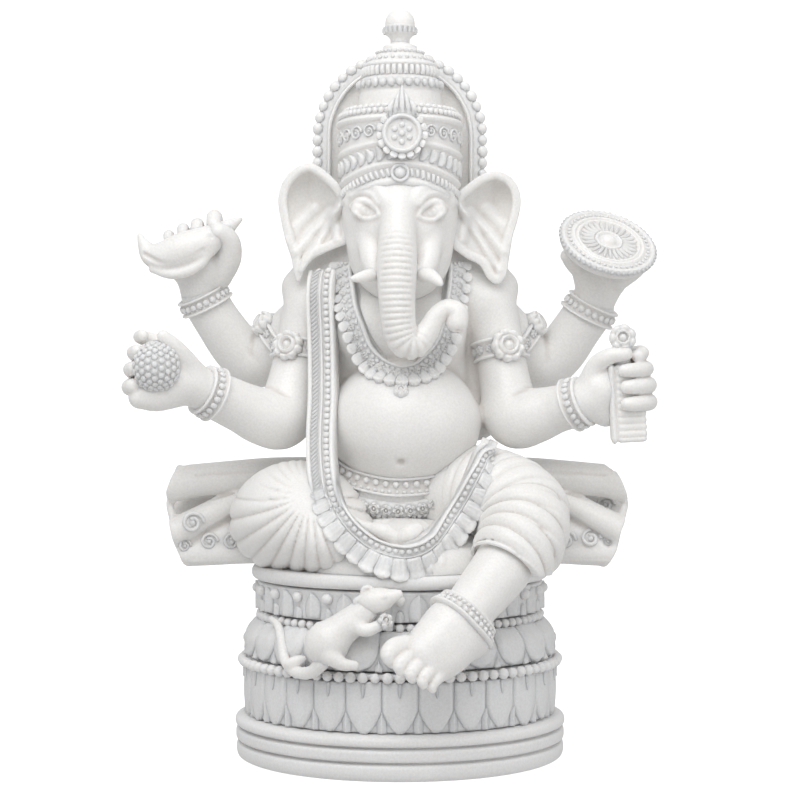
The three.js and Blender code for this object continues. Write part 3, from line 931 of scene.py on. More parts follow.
BELLY = ((1.2, -8, 103), (23.4, 22, 20.2))
SHOULDERS = [(-24, 4, 143, 8), (-14, 2.5, 149.4, 9), (0, 0, 152, 11), (14, 2.5, 149.4, 9), (24, 4, 143, 8)]
SWEET_CENTRE = (-71.8, -33, 120.4)
SWEET_RADII = (7.0, 6.6, 7.4)
RIGHT_FRONT_ARM = [
    (-27.5, 3, 139.5, 8.6), (-31.2, 0.5, 125, 7.5), (-33.6, -3.5, 112.5, 8.1), (-36, -7, 104.8, 9.4),
    (-41.5, -11, 105, 8.8), (-47.5, -15, 107.7, 7.8), (-56.4, -21.4, 112.2, 6.9), (-59.4, -23.4, 113.7, 4.6),
]
LEFT_FRONT_ARM = [
    (27.5, 3, 139.5, 8.6), (31, 0.5, 125, 7.5), (33, -3.5, 112.5, 8.1), (35.3, -7, 105, 9.4),
    (40.5, -10, 105.2, 8.6), (47, -13.2, 107.2, 7.3), (53.6, -17.6, 109.2, 6.7), (56, -18.9, 110.2, 4.4),
]
RIGHT_REAR_ARM = [
    (-25, 7, 138.5, 8.6), (-33, 13, 132.5, 8), (-41, 18.5, 124.5, 8), (-46.5, 20.6, 121.8, 8.3),
    (-52, 20.2, 126.4, 8), (-57.6, 18.6, 134.2, 7.4), (-62.4, 17.2, 142.2, 7), (-63.2, 16.8, 144.4, 4.8),
]
LEFT_REAR_ARM = [
    (25, 7, 138.5, 8.6), (33, 13, 132.5, 8), (40.5, 18.5, 124, 8), (45.6, 20.6, 121, 8.3),
    (51, 20.2, 125, 8.1), (56, 18.6, 132, 7.7), (60.6, 17.4, 138.8, 7.4), (61.4, 16.9, 140.8, 5.0),
]


@cache
def torso_form():
    """Belly, chest, back and hips."""
    chest = together(
        5.0,
        ellipsoid((0, 0, 130), (19.5, 15.5, 21)),
        ellipsoid((0, 4, 115), (21.5, 15, 26)),
        limb([(-26, 3, 139.5, 8.4), (0, 4, 143.5, 10.5), (26, 3, 139.5, 8.4)]),
        limb(SHOULDERS),
        ellipsoid((0, 2, 158), (15.6, 12, 15)),
        ellipsoid((-9.6, -7.6, 131), (10, 8.6, 9.6)),
        ellipsoid((9.6, -7.6, 131), (10, 8.6, 9.6)),
    )
    hips = ellipsoid((1, 0, 80), (26, 20, 20.5))
    whole = together(2.2, together(1.6, chest, ellipsoid(*BELLY)), hips)
    navel = on_front(whole, [(0.3, 91.6, 1.3)])
    return cut(whole, limb(navel + [(navel[0][0], navel[0][1] + 0.6, navel[0][2] + 0.4, 0.8)], 2), 1.6)


@cache
def flank_form(side):
    """The flesh beside the chest and over the shoulder, which closes the body behind the arm and the ear."""
    flank = limb(mirrored(side, [(21, 7, 136, 8), (24.6, 8, 122, 8), (23, 7, 106, 9)]))
    nape = limb(mirrored(side, [(13, 5, 160, 8), (23, 6, 153, 6.6), (31, 6, 145, 6)]))
    return together(2.0, flank, nape)


@cache
def body_form():
    """The torso with the four arms down to the wrists."""
    arms = [limb(a) for a in (RIGHT_FRONT_ARM, LEFT_FRONT_ARM, RIGHT_REAR_ARM, LEFT_REAR_ARM)]
    front = together(3.0, torso_form(), arms[0], arms[1])
    whole = together(2.4, front, arms[2], arms[3], flank_form(-1), flank_form(1))
    right_elbow = smooth_line([(-29.4, -9, 108.6), (-33.6, -12.4, 110.8), (-38.6, -13, 113.4)], 6)
    left_elbow = smooth_line([(29.4, -9, 108.6), (33.6, -12.4, 110.8), (38.4, -12.4, 112.8)], 6)
    seam = smooth_line([(-44, 12.4, 121.4), (-50, 12, 127.6), (-55.4, 11, 134), (-58.4, 10.2, 139)], 6)
    return carved(whole, [(right_elbow, 1.8, -0.35), (left_elbow, 1.8, -0.35), (seam, 1.1, -0.3)])


TRUNK_LINE = [
    (0, -16.4, 178, 3.6), (-0.3, -21.8, 172, 4.0), (-0.6, -25.4, 165, 4.7), (-0.8, -28.6, 157, 5.7),
    (-0.9, -30.6, 149, 5.9), (-0.9, -31.4, 141, 5.5), (-0.4, -31.2, 133, 5.2), (1.4, -30.6, 127.9, 4.8),
    (4.9, -30, 127.3, 4.1), (8.4, -29.6, 131.2, 3.4), (11, -29.4, 135.4, 3.0), (14, -29.4, 137.6, 2.9),
    (16.9, -29.8, 136.4, 3.1), (17, -30.2, 133.6, 3.2),
]
EYE_RIGHT = (-10.3, 167.4)
EYE_LEFT = (9.5, 167.0)


def eye_lines(face, centre, side):
    """The two lids of one eye and the fold over them. side is -1 on the idol's right."""

    def across(places):
        return on_front(face, [(centre[0] + side * x, centre[1] + z, r) for x, z, r in places], 0.1)

    upper = [(-4.1, -1.7, 0.4), (-2.6, 1.0, 0.8), (-0.2, 2.5, 1.0), (2.4, 2.7, 0.95), (4.6, 1.2, 0.5)]
    lower = [(-4.1, -1.7, 0.4), (-1.9, -2.7, 0.55), (0.8, -2.6, 0.6), (3.2, -0.9, 0.55), (4.6, 1.2, 0.4)]
    crease = [(-3.6, 1.9, 0.3), (-1.6, 4.5, 0.55), (1.6, 5.4, 0.6), (4.6, 4.4, 0.4)]
    return across(upper), across(lower), across(crease)


@cache
def head_form():
    """The head with eyes, brows, cheeks and the curled trunk."""
    skull = together(
        5.0,
        ellipsoid((0, -7, 170), (17.2, 16.6, 15.5)),
        ellipsoid((0, -10.6, 163), (16.6, 16, 18.5)),
        ellipsoid((0, -12, 153), (14.6, 12.5, 13)),
    )
    face = skull
    eyes = [(*EYE_RIGHT, -1), (*EYE_LEFT, 1)]
    for x, z, side in eyes:
        socket = ellipsoid((x + side * 0.6, -30.2, z + 0.8), (6.0, 4.9, 5.4), (0, -14 * side, -26 * side))
        face = cut(face, socket, 3.6)
    brow = [(15.6, 170.6, 1.0), (13.6, 174, 1.5), (10, 175.4, 1.8), (6.6, 173.6, 1.8), (4.4, 169.6, 1.6)]
    for side in (-1, 1):
        face = together(2.6, face, limb(on_front(skull, mirrored(side, brow), -0.9)))
    face = together(2.4, face, limb(TRUNK_LINE))
    sheath = [(9.6, -19, 160, 2.6), (8.8, -23.6, 153.6, 3.3), (7.4, -26.4, 148.8, 2.9)]
    for side in (-1, 1):
        face = together(1.8, face, limb(mirrored(side, sheath)))
    for x, z, side in eyes:
        ball = on_front(face, [(x + side * 0.3, z - 0.2, 1)])[0]
        globe = ellipsoid((ball[0], ball[1] + 2.2, ball[2]), (4.3, 2.7, 3.1), (0, -14 * side, -20 * side))
        face = together(0.5, face, globe)
        turn = np.linspace(0, 2 * math.pi, 15)
        ring = np.column_stack([x + 1.45 * np.cos(turn), z - 0.5 + 1.45 * np.sin(turn), turn * 0 + 1])
        iris = on_front(face, ring)
        pupil = on_front(face, [(x, z - 0.3, 1), (x + 0.2, z - 0.5, 1)])
        face = carved(face, [(np.array(iris)[:, :3], 0.55, -0.28), (np.array(pupil)[:, :3], 0.8, -0.3)])
    for x, z, side in eyes:
        upper, lower, crease = eye_lines(face, (x, z), side)
        face = together(0.7, face, limb(upper), limb(lower))
        face = together(1.3, face, limb(crease))
    line = smooth_line(TRUNK_LINE, 5)[:, :3]
    lengths = np.linalg.norm(np.diff(line, axis=0), axis=1)
    runs = np.concatenate([[0], np.cumsum(lengths)])
    bend = float(lengths[:40].sum())

    def wrinkles(points):
        """Rings across the front of the trunk, down to where it curls."""
        run = distance_to_line(points, line)[1]
        nearest = np.interp(run, runs, line[:, 0])
        width = np.interp(run, (0, 25, 50, bend + 6), (4.0, 5.6, 5.2, 4))
        sideways = np.abs(points[:, 0] - nearest) / width
        start, end = fade(run, 19, 27), 1 - fade(run, bend - 1, bend + 6)
        forward = fade(-points[:, 1], 22, 26)
        rings = np.abs(np.cos(run * math.pi / 1.72)) ** 0.8 - 0.6
        return 0.62 * rings * start * end * forward * (1 - fade(sideways, 0.62, 1.02))

    nostril = ellipsoid((17.2, -31.4, 130.4), (1.1, 1.1, 1.2))
    return cut(embossed(face, wrinkles), nostril, 0.8)


def polygon_distance(x, z, outline):
    """Signed distance in a plane to a closed outline, below zero inside."""
    best = np.full(len(x), FAR)
    inside = np.zeros(len(x), bool)
    for (ax, az), (bx, bz) in zip(outline, np.roll(outline, -1, 0)):
        ex, ez = bx - ax, bz - az
        t = np.clip(((x - ax) * ex + (z - az) * ez) / max(ex * ex + ez * ez, 1e-9), 0, 1)
        np.minimum(best, np.hypot(x - ax - t * ex, z - az - t * ez), out=best)
        crosses = ((az > z) != (bz > z)) & (x < ax + (z - az) * ex / (ez if ez else 1e-9))
        inside ^= crosses
    return np.where(inside, -best, best)


def closed_line(points, steps=5):
    """A smooth closed line through points of a plane."""
    p = np.array(points, float)
    p = np.vstack([p[-2:], p, p[:3]])
    line = smooth_line(np.column_stack([p, np.zeros(len(p))]), steps)[:, :2]
    return line[2 * steps : (len(points) + 2) * steps]


def leaf_form(outline, middle, thickness, rim=0.0, folds=()):
    """A thin sheet over an outline in X and Z. middle(x, z, depth) is its middle in Y."""
    outline = closed_line(outline)

    def distance(points):
        x, y, z = points.T
        flat = polygon_distance(x, z, outline)
        depth = np.maximum(-flat, 0)
        centre = middle(x, z, depth)
        for line, width, height in folds:
            line = np.column_stack([np.array(line)[:, 0], np.zeros(len(line)), np.array(line)[:, 1]])
            near = distance_to_line(np.column_stack([x, np.zeros(len(x)), z]), line)[0]
            centre = centre - height * bump(near, width)
        sheet = np.maximum(flat, (np.abs(y - centre) - thickness) * 0.75)
        if rim:
            roll = np.hypot(flat + rim, y - middle(x, z, np.zeros(len(x)))) - rim
            sheet = smooth_least(sheet, roll, 1.2)
        return sheet

    x, z = outline.T
    spread = np.concatenate([middle(x, z, np.full(len(x), d)) for d in (0, 2, 5, 9)])
    lowest = np.array([x.min(), spread.min() - thickness - 3, z.min()])
    highest = np.array([x.max(), spread.max() + thickness + 3, z.max()])
    return Form(distance, lowest - 0.5, highest + 0.5)


RIGHT_EAR = [
    (-15.5, 171), (-18.4, 175.4), (-20.8, 178), (-24.6, 181.2), (-28, 182.5), (-32.1, 181.1), (-35.8, 177),
    (-37.2, 171.5), (-36.4, 165.5), (-34.9, 159), (-33.2, 153.8), (-32.4, 149.4), (-31.2, 146.6),
    (-29.6, 149.6), (-27.4, 153), (-24.2, 155), (-19.9, 156.8), (-15.5, 159), (-13.6, 165),
]
LEFT_EAR = [
    (15.5, 170), (17.8, 173.4), (20.2, 175.4), (24.2, 178.4), (29.1, 180.1), (33.6, 178.6), (36.2, 175),
    (36.9, 170.6), (35.9, 165.3), (34.4, 160.4), (33.4, 154.4), (32.4, 148.8), (30.2, 146),
    (27.2, 147.4), (24.6, 151.6), (20.4, 153.8), (16.4, 156.8), (13.6, 161), (13.6, 166),
]


def ear_form(outline, side):
    """One ear, hollow in its upper part, with a rolled rim and folds that run down to its tip."""

    def middle(x, z, depth):
        out = np.clip((x * side - 14) / 22, 0, 1.2)
        hollow = (1 - np.exp(-depth / 3.4)) * (0.5 + 0.5 * fade(z, 153, 168))
        return -9.5 + 4.5 * out + 7.2 * hollow * fade(out, 0.05, 0.45)

    folds = [
        (mirrored(side, [(18.4, 169), (22.6, 163), (26.4, 156.6), (30.4, 150)]), 1.9, 2.2),
        (mirrored(side, [(21.5, 167.6), (27.4, 161.8), (31.4, 155.8)]), 2.8, 2.4),
        (mirrored(side, [(27, 169), (32, 163.6), (33.4, 159)]), 3.0, 1.2),
        (mirrored(side, [(18, 171.6), (20.4, 166.4), (19.6, 159.4)]), 1.8, 1.6),
    ]
    return leaf_form(outline, middle, 0.9, 1.25, folds)


# ---- legs and cloth

PLEAT_CENTRE = np.array([-26.4, 83.0])
LEFT_LEG = [
    (12, -4, 80, 15.5), (26, -14, 80.6, 15.4), (36, -25.5, 77.4, 13.8), (36, -33.5, 69.6, 13),
    (31, -40, 61.4, 11.6),
]
SHIN = [
    (37, -30, 73, 9.6), (30.6, -39.4, 62.6, 8.9), (24, -46.4, 55, 8), (18.6, -51.6, 49.4, 7.2),
    (14.4, -54.6, 46, 7.2),
]


@cache
def right_leg_form():
    """The folded right leg under its pleated cloth."""
    leg = together(
        6.0,
        ellipsoid((-31, -14, 75.4), (19.6, 23.5, 16.4)),
        ellipsoid((-21.5, -22, 69.2), (14.2, 20.5, 11.6)),
        ellipsoid((-36, -6, 72), (15.4, 20, 13.6)),
    )

    def pleats(points):
        x = points[:, 0] - PLEAT_CENTRE[0]
        z = points[:, 2] - PLEAT_CENTRE[1]
        reach = np.hypot(x, z)
        turn = np.degrees(np.arctan2(z, -x))
        turn = turn - 12 * fade(reach, 0, 24) * fade(turn, -60, 40)
        fine = (turn + 12) / 13.5
        broad = (-12 - turn) / 12.2
        shape = np.where(turn > -12, fine, broad + 40)
        fold = np.abs(np.sin(math.pi * shape)) ** 0.55 - 0.75
        height = np.where(turn > -12, 0.75 * (1 - fade(reach, 8, 19)), 1.15)
        start = fade(reach, 2.5, 12)
        forward = fade(-points[:, 1], -2, 12)
        end = 1 - fade(turn, 112, 134)
        return fold * height * start * forward * end

    return above(embossed(leg, pleats), SEAT_TOP - SUNK)


@cache
def trouser_form():
    """The left leg's cloth, in rings of folds from the hip over the knee to the open hem."""
    leg = limb(LEFT_LEG, 6)
    line = smooth_line(LEFT_LEG, 6)[:, :3]
    hem = line[-1] + (line[-1] - line[-4]) * 0.12
    way = line[-1] - line[-5]
    way /= np.linalg.norm(way)
    length = float(np.linalg.norm(np.diff(line, axis=0), axis=1).sum())

    def folds(points):
        run = distance_to_line(points, line)[1]
        lean = (points - hem) @ np.cross(way, (0.5, -0.8, 0))
        place = run + 0.22 * lean * fade(run, 20, 44)
        thin = np.abs(np.sin(math.pi * place / 3.9)) ** 0.5 - 0.72
        thick = np.abs(np.sin(math.pi * (place - 2) / 5.0)) ** 0.6 - 0.7
        lower = fade(run, length * 0.5, length * 0.62)
        forward = fade(-points[:, 1], -2, 10)
        start = fade(run, 8, 16)
        return (0.8 * thin * (1 - lower) + 1.7 * thick * lower) * forward * start

    cloth = embossed(leg, folds)

    def distance(points):
        return np.maximum(cloth(points), (points - hem) @ way)

    shaped = Form(distance, cloth.lowest, cloth.highest)
    shin = limb(SHIN)

    def round_shin(points):
        return np.maximum(shin(points) - 1.1, -((points - hem) @ way) - 2.6)

    gap = Form(round_shin, shin.lowest - 2, shin.highest + 2)
    return above(cut(shaped, gap, 0.4), SEAT_TOP - SUNK)


@cache
def foot_form():
    """The bare left shin and foot, with curled toes."""
    foot = together(
        3.0,
        limb(SHIN),
        limb([(14.6, -54.4, 46, 7.4), (10.4, -58, 42, 7.6), (6.6, -61, 39, 6.2)]),
        limb([(19.4, -53.6, 43.4, 6), (14, -58.4, 38, 5.6), (9, -61.6, 34.6, 4.6)]),
        ellipsoid((20.6, -51, 42.6), (5.6, 6, 6.4)),
    )
    toes = [
        [(1.6, -62, 41.6, 2.9), (-1.4, -64.6, 41.2, 2.9), (-3.2, -66.6, 39.8, 2.4), (-3.2, -67.2, 38.2, 1.7)],
        [(3.2, -63.6, 38.8, 2.3), (1.2, -66.2, 38, 2.2), (-0.2, -67.8, 36.6, 1.9), (0, -68, 35, 1.4)],
        [(6, -64, 37, 2.2), (4.2, -66.8, 35.9, 2.1), (3, -68.2, 34.4, 1.8), (3.2, -68.2, 33, 1.3)],
        [(9, -63.8, 35.4, 2.1), (7.4, -66.4, 34, 2), (6.3, -67.6, 32.4, 1.7), (6.6, -67.6, 31, 1.2)],
        [(11.8, -62.6, 34, 2), (10.2, -65, 32.4, 1.8), (9, -66, 30.8, 1.5), (9.2, -66, 29.6, 1.1)],
    ]
    nails = []
    for toe in toes:
        foot = together(0.7, foot, limb(toe))
        x, y, z, r = toe[2]
        side, back = r * 0.6, y - r * 0.9
        nail = [(x - side, back, z + 0.4), (x, y - r, z + 0.9), (x + side, back, z + 0.4)]
        nails.append((smooth_line(nail, 4), 0.55, -0.25))
    return carved(foot, nails)


@cache
def lap_form():
    """The cloth over the lap, between the legs."""
    lap = ellipsoid((0, -16, 60), (31, 28.6, 15))
    folds = []
    for x in (-13, -9, 9, 13):
        line = [(x * 0.5, -24, 74), (x * 0.8, -34, 70), (x, -44, 62)]
        folds.append((smooth_line(line, 5), 1.7, 0.6))
    knot = together(
        0.8,
        limb([(-9.6, -36, 72.8, 1.6), (-5.4, -37.6, 72, 2.6), (-2, -38, 70.4, 2.3)]),
        limb([(4.8, -37.4, 72.4, 2.2), (2.6, -38.4, 71, 3), (0, -38, 69.4, 2.1)]),
        limb([(-14.4, -34.4, 75.2, 1.2), (-9.6, -36, 72.8, 1.8)]),
    )
    return above(together(0.9, carved(lap, folds), knot), SEAT_TOP - SUNK)


@cache
def dress_form():
    """Everything that the garland and the belts lie on."""
    return together(1.0, torso_form(), right_leg_form(), trouser_form(), lap_form())


# ---- hands and what they hold


@cache
def right_front_hand_form():
    """An open palm with four fingers curled round the sweet."""
    wrist = limb([(-58.4, -22.8, 113, 6.3), (-62, -25.4, 114.8, 6.2), (-66, -27, 116, 6.4)])
    palm = together(3.0, wrist, ellipsoid((-69, -26.6, 117.4), (8, 5.8, 8.2), (0, 20, 0)))
    palm = together(2.4, palm, limb([(-63, -25.6, 116, 5), (-71, -29.6, 112.2, 5), (-77, -30.6, 111.4, 3.6)]))
    fingers = [(-76.6, 129.2, 2.0), (-78.2, 124.4, 2.3), (-79.2, 119.4, 2.4), (-79.6, 114.2, 2.5)]
    for x, z, r in fingers:
        finger = limb([(x + 7, -25, z - 2.2, r + 0.3), (x + 2.4, -24.8, z - 0.8, r + 0.2),
                       (x - 0.8, -28, z, r), (x + 0.6, -32.4, z + 0.5, r - 0.3)])
        palm = together(0.8, palm, finger)
    thumb = limb([(-61.6, -25.8, 117, 4.4), (-63.6, -29, 121.4, 3.6), (-66.6, -32.4, 126, 2.7),
                  (-69.8, -34.4, 129.4, 1.9)])
    return together(1.6, palm, thumb)


@cache
def left_front_hand_form():
    """A fist closed round the goad, fingers coming round from the outer side."""
    wrist = limb([(53.8, -17.7, 109.3, 6.2), (56.6, -19.2, 110.6, 6), (60, -20, 113, 6)])
    palm = together(3.0, wrist, ellipsoid((60.6, -18.6, 114.6), (6.6, 5.6, 9.6), (0, 12, 0)))
    palm = together(2.4, palm, limb([(57, -19.6, 110, 4.6), (62, -19, 106, 3.8)]))
    for z, r, x in ((119.8, 2.45, 73.4), (114.9, 2.6, 74.2), (109.8, 2.6, 74.4)):
        finger = limb([(63, -16.4, z + 0.4, r), (x - 3, -14.6, z + 0.2, r), (x + 0.6, -18.6, z, r),
                       (x - 0.8, -23.8, z - 0.3, r - 0.1), (x - 4.4, -26.4, z - 0.5, r - 0.3),
                       (x - 6.6, -26.8, z - 0.6, r - 0.6)])
        palm = together(0.6, palm, finger)
    first = [(60, -17.6, 121, 3), (67, -16.6, 123.4, 2.4), (72.6, -19.4, 124.6, 2.3),
             (71.4, -23.6, 123.6, 2.1)]
    thumb = [(57.6, -19.8, 115, 4), (58.8, -22, 120.4, 3), (62.4, -24.6, 123.4, 2.6),
             (67.4, -25.6, 124.2, 2.1)]
    return together(1.0, palm, limb(first), limb(thumb))


@cache
def right_rear_hand_form():
    """A raised hand that grips the conch from behind, thumb on the near side."""
    wrist = limb([(-62.7, 17, 142.6, 6.4), (-63.4, 16.2, 146, 6.6), (-63, 15, 150, 7)])
    palm = together(3.0, wrist, ellipsoid((-64, 14.6, 154), (10.6, 4.8, 7.4), (0, -8, 0)))
    for x, z, r in ((-73, 161.4, 1.7), (-68.5, 163.4, 1.9), (-64, 164.8, 2.1), (-58.6, 167, 2.5)):
        finger = limb([(x + 0.6, 16.4, 154, r + 0.4), (x, 17.2, z - 3, r + 0.3), (x, 14.6, z, r + 0.1),
                       (x + 0.2, 10.8, z + 0.1, r), (x + 0.2, 8.4, z - 1.6, r - 0.4)])
        palm = together(0.7, palm, finger)
    thumb = [(-57.4, 14.6, 149, 4.4), (-54, 12, 154.4, 4), (-53.6, 9.2, 159.6, 3.4), (-56.4, 7.2, 162.4, 2.9),
             (-58.2, 6.6, 161.4, 2.2)]
    return together(1.4, palm, limb(thumb))


@cache
def left_rear_hand_form():
    """A raised hand, spread under the disc."""
    wrist = limb([(60.8, 17.2, 139.4, 6.8), (62, 16, 143, 6.9), (63.4, 14.6, 147, 7.4)])
    palm = together(3.0, wrist, ellipsoid((65, 12.6, 150.4), (10.4, 6, 6.4), (24, -10, 0)))
    for points in (
        [(59, 13, 149, 3.2), (54.6, 9.4, 152.6, 2.7), (52.2, 7, 155, 2.1)],
        [(64, 16, 151, 3.2), (61.4, 17.4, 157, 2.7), (60.6, 16.4, 162, 2.3)],
        [(68, 16, 151, 3.2), (68.4, 17.6, 157.6, 2.7), (68.4, 16.6, 163, 2.3)],
        [(71.4, 13.4, 150.4, 3.2), (75.4, 13.6, 155.4, 2.7), (76.6, 13, 160.4, 2.2)],
        [(69, 9.4, 147.6, 3.2), (73.6, 6.6, 150.6, 2.7), (76.6, 5.4, 153.6, 2.1)],
    ):
        palm = together(1.0, palm, limb(points))
    return palm


@cache
def conch_form():
    """A conch held level: a curled tip, a full body and a spire, with a lip along its underside."""
    shell = limb([
        (-81.6, 8.4, 161.6, 0.8), (-80.2, 8.4, 158.4, 2.0), (-77.6, 8.2, 155.2, 3.6), (-73, 7.6, 155, 5),
        (-67.4, 7.4, 156.8, 5.8), (-61.6, 8, 159, 5.1), (-57, 9, 162, 3.5), (-53.4, 9.8, 164.6, 2.2),
        (-50.2, 10.4, 166.6, 0.8),
    ])
    lip = limb([
        (-77.4, 6.4, 150.6, 1.0), (-72, 5.2, 149.2, 1.5), (-66.4, 4.8, 150, 1.7), (-62, 5, 152.6, 1.5),
        (-59.4, 6, 156.4, 1.1),
    ])
    groove = [(-79.6, 5.8, 155.4), (-73, 2.4, 152.2), (-66, 1.6, 153.4), (-61, 2.6, 156.6)]
    whorls = [
        (smooth_line([(-60.4, 2.4, 163.4), (-58.6, 5.4, 159.4), (-59.4, 10, 156.6)], 6), 1.0, -0.5),
        (smooth_line([(-56.8, 5.4, 165), (-55.2, 7.6, 161.6), (-55.8, 11, 160)], 6), 0.8, -0.45),
        (smooth_line(groove, 6), 1.2, -0.9),
    ]
    return carved(together(1.6, shell, lip), whorls)


def sweet_form():
    """A round heap of sweets."""
    return ellipsoid(SWEET_CENTRE, SWEET_RADII)


@cache
def goad_form():
    """A flat ribbed grip with a raised border down its inner side."""

    def distance(points):
        q = points - np.array([68, -22, 109.4])
        lean = math.radians(3)
        x = q[:, 0] * math.cos(lean) + q[:, 2] * math.sin(lean)
        z = -q[:, 0] * math.sin(lean) + q[:, 2] * math.cos(lean)
        box = np.stack([np.abs(x) - 4.2, np.abs(q[:, 1]) - 1.9, np.abs(z) - 10.4], 1)
        outside = np.sqrt((np.maximum(box, 0) ** 2).sum(1)) + np.minimum(box.max(1), 0) - 1.0
        ribs = 0.5 * (np.abs(np.sin(math.pi * z / 2.05)) ** 0.6) * fade(x, -3.2, -2.4)
        bar = 0.7 * bump(x + 4.3, 1.0)
        near = (np.abs(outside) < 3) & (q[:, 1] < 0)
        outside[near] -= (ribs + bar)[near]
        return outside

    return Form(distance, (61.5, -26.6, 97), (74.5, -18, 122))


# ---- the seat cloth and the mouse


WING_SCROLLS = {
    -1: ((63.4, 72.6, 7.8), (58.6, 66.6, 6.2), (51.8, 66.4, 6.4), (66, 65.4, 4.6)),
    1: ((51, 67, 7.2), (58.6, 67.6, 7.2), (63.8, 77.4, 6.8), (64, 66.6, 4.2)),
}
WING_ENDS = {
    -1: ((58.5, 60.4, 67.9, 73.5, 77.2, 82, 89, 91.5), (64.6, 66.2, 69, 70.3, 71.4, 71, 68.4, 64)),
    1: ((58.5, 60, 64, 70, 76, 79.6, 87, 91.5), (62, 63.6, 65.6, 67, 69.4, 69.6, 66.6, 63)),
}


def wing_form(side):
    """The end of the seat roll on one side: a roll above, two slanting folds and a hanging hem below."""
    heights, reaches = WING_ENDS[side]

    def fold(*stations, **given):
        return limb(mirrored(side, stations), **given)

    def line(*points):
        return smooth_line(mirrored(side, points), 6)

    top = fold((26, 10, 85.6, 6.4), (40, 5, 86, 6), (52, 1, 85.8, 5.4), (62, -2.4, 85.2, 5.2),
               (70, -4.4, 84.2, 5.6))
    back = fold((34, 11, 78, 7), (52, 9, 76, 6), (68, 6, 74, 6.4))
    slanting = fold((42, 2, 80, 4.2), (51, -1.6, 78.6, 3.9), (60, -5, 74, 4.2), (69, -7, 69.6, 4.4))
    skirt = fold((36, 1, 66.8, 7), (50, -1, 66.6, 6.8), (60, -3, 66, 6.8), (68, -4, 66, 7),
                 squeeze=(1, 1.5, 1))
    hang = fold((34, -2, 62.6, 2.8), (50, -4, 62.4, 2.8), (66, -6.4, 62.4, 3))
    cloth = together(1.6, together(2.0, back, skirt, hang), together(0.8, top, slanting))

    def end(points):
        """The flared end, which sways in and out on its way down."""
        reach = np.interp(points[:, 2], heights, reaches)
        return points[:, 0] * side - reach - 0.8 * np.sin(points[:, 1] * 0.5)

    trimmed = Form(lambda p: np.maximum(cloth(p), end(p) * 0.8), cloth.lowest, cloth.highest)
    edge = [(x - 0.5, -5.2 - 2.4 * math.sin((z - 59) * 0.2), z, 1.2) for z, x in zip(heights, reaches)][1:-1]
    shaped = together(1.4, trimmed, fold(*edge))
    lining = ellipsoid((side * (max(reaches) + 1.6), -1, 83.4), (5.8, 4, 4.4))
    relief = [
        (line((40, -4.6, 60.9), (54, -6.4, 60.9 - 0.2), (64, -8.6, 60.9 - 0.2)), 0.8, 0.55),
        (line((40, -4.6, 62.6), (54, -6.4, 62.6 - 0.2), (64, -8.6, 62.6 - 0.2)), 0.8, 0.55),
        (line((36, 0, 81.4), (50, -3, 80.6), (62, -6.4, 80)), 1.5, -1.1),
        (line((44, -1, 76), (50, -4, 74.6), (57, -7, 70.6), (64, -9, 66)), 1.7, -1.5),
        (line((40, -2, 88), (52, -4, 87.6), (63, -7, 86.8)), 1.2, -0.5),
    ]
    return above(carved(cut(shaped, lining, 1.0), relief), SEAT_TOP - 0.9)


@cache
def mouse_form():
    """The mouse, reaching up against the pedestal with a sweet in its paws."""
    body = together(
        2.4,
        ellipsoid((-21.4, -47, 39.8), (6.4, 5.6, 6.2), (0, 30, 0)),
        limb([(-20.4, -47.4, 41.6, 5.2), (-14.6, -47.4, 46, 4.6), (-10.4, -47.8, 49.6, 3.8)]),
    )
    foreleg = limb([(-13, -49.6, 45.6, 2.4), (-9.6, -51.6, 44.6, 1.9), (-5.4, -52, 46.2, 1.6)])
    hind_leg = limb([(-20, -50.6, 37, 2.8), (-16.4, -51.6, 34.8, 1.9), (-13, -51.8, 34.4, 1.4)])
    return together(1.0, together(1.4, body, foreleg), hind_leg)


@cache
def mouse_head_form():
    """The mouse's head with round ears and a pointed nose."""
    head = together(
        1.6,
        ellipsoid((-7.6, -48.2, 52.6), (5, 3.9, 3.8), (0, -10, 0)),
        limb([(-5, -48.8, 53.2, 3), (-2, -49.6, 54.2, 2), (-0.4, -50, 54.8, 1.3)]),
    )
    for x, z in ((-11.6, 52.2), (-9.4, 55.4)):
        ear = ellipsoid((x, -48.8, z), (2.1, 1.2, 2.1), (20, 0, 0))
        head = together(0.6, head, cut(ear, ellipsoid((x, -50.4, z), (1.3, 1.1, 1.3)), 0.3))
    eye = on_front(head, [(-4.6, 54.2, 0.55)])
    return together(0.2, head, limb(eye + [(eye[0][0] + 0.3, eye[0][1], eye[0][2], 0.5)], 2))


@cache
def mouse_tail_form():
    """The tail, swept down and up again round the pedestal to a leaf-shaped tuft."""
    tail = limb([
        (-22.6, -48.4, 34.6, 2.2), (-26, -45.6, 31.6, 1.9), (-30.8, -40.6, 31.2, 1.7),
        (-33.8, -36.8, 34, 1.5), (-35, -33, 38.6, 1.35), (-36.2, -28.6, 43, 1.2), (-38.2, -25, 44.6, 0.9),
    ])
    tuft = ellipsoid((-30.6, -40.4, 34), (3.4, 1.6, 1.7), (0, -18, 0))
    return together(0.8, tail, tuft)


# ---- crown and halo

CROWN_AXIS = (0.0, -7.0)
DRUM_LEAN = math.radians(-6)
HALO_DEPTH = 4.2  # the middle of the halo's plate, in mm behind the axis


def flat_behind(piece, depth):
    """Presses what lies behind depth flat, where the halo's plate covers it."""
    mesh = piece.data
    place = np.empty(len(mesh.vertices) * 3)
    mesh.vertices.foreach_get("co", place)
    place = place.reshape(-1, 3)
    place[:, 1] = np.minimum(place[:, 1], depth * MM)
    mesh.vertices.foreach_set("co", place.ravel())
    return piece


